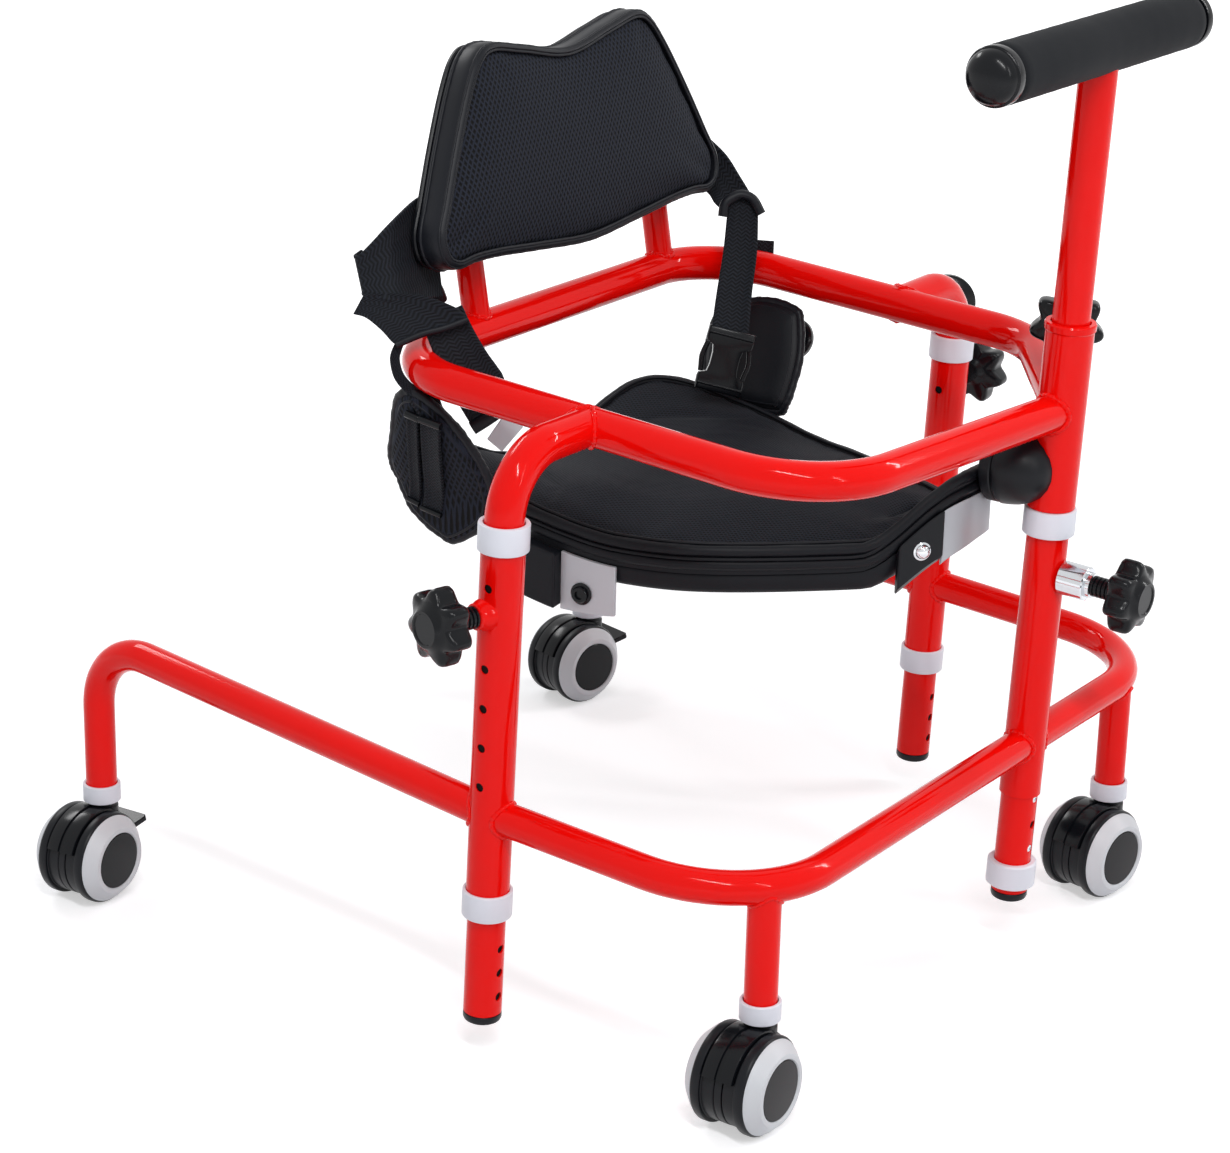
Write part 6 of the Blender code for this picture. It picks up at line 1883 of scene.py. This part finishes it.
        dress(join("buckle_body", pieces), BLACK, Body.RING, "strap_buckle")

    def wing_knob(self) -> None:
        """The small round knob on the far wing's outer face."""
        wing = SideWing(Side.FAR)
        matrix, height = wing.place()
        y, z = self.knob
        share = (z - wing.bottom_z) / (wing.top_z - wing.bottom_z)
        out = matrix.to_3x3() @ BACKWARDS
        out = -out if out.x < 0 else out
        start = matrix @ Vector((y, 0.0, height * share)) + out * (wing.thickness / 2 + 0.0004)
        Knobs().round_knob("wing_knob", "wing_knob_turn", start, out, 0.0155, 0.0195)

    def build(self) -> None:
        """Models and dresses the straps."""
        self.near()
        self.far()
        self.side_release_buckle()
        self.wing_knob()


@dataclass
class Stage:
    """The plain floor, the soft lights and the camera at the photograph's angle."""

    azimuth: float = -0.9616545
    elevation: float = 0.3481999
    roll: float = 0.0234241
    place: tuple[float, float, float] = (-1.76976, -1.1947, 1.00949)
    focal_px: float = 3272.476
    width_px: float = 1230.0

    def camera(self) -> None:
        """Puts the camera where the photograph was taken from."""
        data = bpy.data.cameras.new("camera")
        data.sensor_fit = "HORIZONTAL"
        data.sensor_width = 36.0
        data.lens = self.focal_px * 36.0 / self.width_px
        data.clip_start = 0.05
        data.clip_end = 30.0
        a, e = self.azimuth, self.elevation
        back = Vector((sin(a) * cos(e), -cos(a) * cos(e), sin(e)))
        right = Vector((cos(a), sin(a), 0.0))
        up = back.cross(right)
        right, up = right * cos(self.roll) + up * sin(self.roll), up * cos(self.roll) - right * sin(self.roll)
        matrix = Matrix((right, up, back)).transposed().to_4x4()
        matrix.translation = self.place
        camera = bpy.data.objects.new("camera", data)
        camera.matrix_world = matrix
        bpy.context.scene.collection.objects.link(camera)
        bpy.context.scene.camera = camera

    def lamp(self, name: str, spot: Sequence[float], size: tuple[float, float], power: float) -> None:
        """A soft lamp, wide and high in metres, that looks at the walker's middle."""
        data = bpy.data.lights.new(name, "AREA")
        data.shape = "RECTANGLE"
        data.size, data.size_y = size
        data.energy = power
        lamp = bpy.data.objects.new(name, data)
        aim = (Vector(spot) - Vector((0.0, 0.0, 0.3))).normalized()
        lamp.matrix_world = frame_at(Vector(spot), aim)
        bpy.context.scene.collection.objects.link(lamp)

    def seen(self, tree: NodeTree) -> NodeSocket:
        """1 for the rays of the camera, of reflections and through glass, and 0 for all others."""
        ray = add_node(tree, "LightPath")
        seen = ray.outputs["Is Camera Ray"]
        for kind in ("Is Glossy Ray", "Is Transmission Ray"):
            seen = add_node(tree, "Math", {0: seen, 1: ray.outputs[kind]}, operation="MAXIMUM").outputs[0]
        return seen

    def floor(self) -> None:
        """A plain pale floor that the camera sees as white, with the walker's soft shadow."""
        bpy.ops.object.select_all(action="DESELECT")
        bpy.ops.mesh.primitive_plane_add(size=30.0, location=(0.0, 0.0, 0.0))
        floor = bpy.context.object
        floor.name = "floor"
        material = bpy.data.materials.new("paper_floor_white")
        material.use_nodes = True
        tree = material.node_tree
        shader = tree.nodes["Principled BSDF"]
        shader.inputs["Roughness"].default_value = 0.9
        shader.inputs["Specular IOR Level"].default_value = 0.1
        spot = add_node(tree, "TexCoord").outputs["Object"]
        away = add_node(tree, "VectorMath", {0: spot}, operation="LENGTH").outputs["Value"]
        rise = add_node(tree, "MapRange", {"Value": away, "From Min": 0.6, "From Max": 2.2, "To Min": 0.5,
                                           "To Max": 0.96}).outputs["Result"]
        glow = add_node(tree, "Math", {0: self.seen(tree), 1: rise}, operation="MULTIPLY")
        shader.inputs["Base Color"].default_value = (0.78, 0.78, 0.8, 1.0)
        shader.inputs["Emission Color"].default_value = (1.0, 1.0, 1.0, 1.0)
        tree.links.new(glow.outputs[0], shader.inputs["Emission Strength"])
        floor.data.materials.append(material)

    def world(self) -> None:
        """A plain white surrounding that lights the walker softly."""
        world = bpy.data.worlds.new("studio")
        bpy.context.scene.world = world
        world.use_nodes = True
        tree = world.node_tree
        background = tree.nodes["Background"]
        strength = add_node(tree, "MapRange", {"Value": self.seen(tree), "To Min": 0.4, "To Max": 1.0})
        tree.links.new(strength.outputs["Result"], background.inputs["Strength"])
        background.inputs["Color"].default_value = (1.0, 1.0, 1.0, 1.0)

    def build(self) -> None:
        """Sets up floor, lights and camera."""
        self.floor()
        self.world()
        self.lamp("key", (-1.5, -1.2, 2.4), (0.1, 1.5), 34.0)
        self.lamp("fill", (1.8, -1.6, 1.9), (0.1, 1.5), 20.0)
        self.lamp("rear", (0.4, 2.2, 2.2), (1.2, 0.4), 18.0)
        self.lamp("edge", (-0.7, -2.3, 1.5), (0.06, 1.2), 6.0)
        self.camera()
        bpy.context.scene.view_settings.view_transform = "Standard"


def main() -> None:
    """Builds every sub-assembly in order."""
    logging.basicConfig(level=logging.INFO, format="%(name)s %(message)s")
    BaseFrame().build()
    RingFrame().build()
    Collars().build()
    base = BaseFrame()
    places = {
        "front_near": (*base.stem(Side.NEAR), 0.0), "front_far": (*base.stem(Side.FAR), -10.0),
        "rear_near": (*base.rear_near, 4.0), "rear_far": (*base.rear_far, -14.0),
    }
    for name, (x, y, yaw) in places.items():
        Castor(name, x, y, yaw).build()
    Knobs().build()
    PushHandle().build()
    BackRest().build()
    Saddle().build()
    SeatFittings().build()
    for side in Side:
        SideWing(side).build()
    Straps().build()
    Stage().build()


if __name__ == "__main__":
    main()
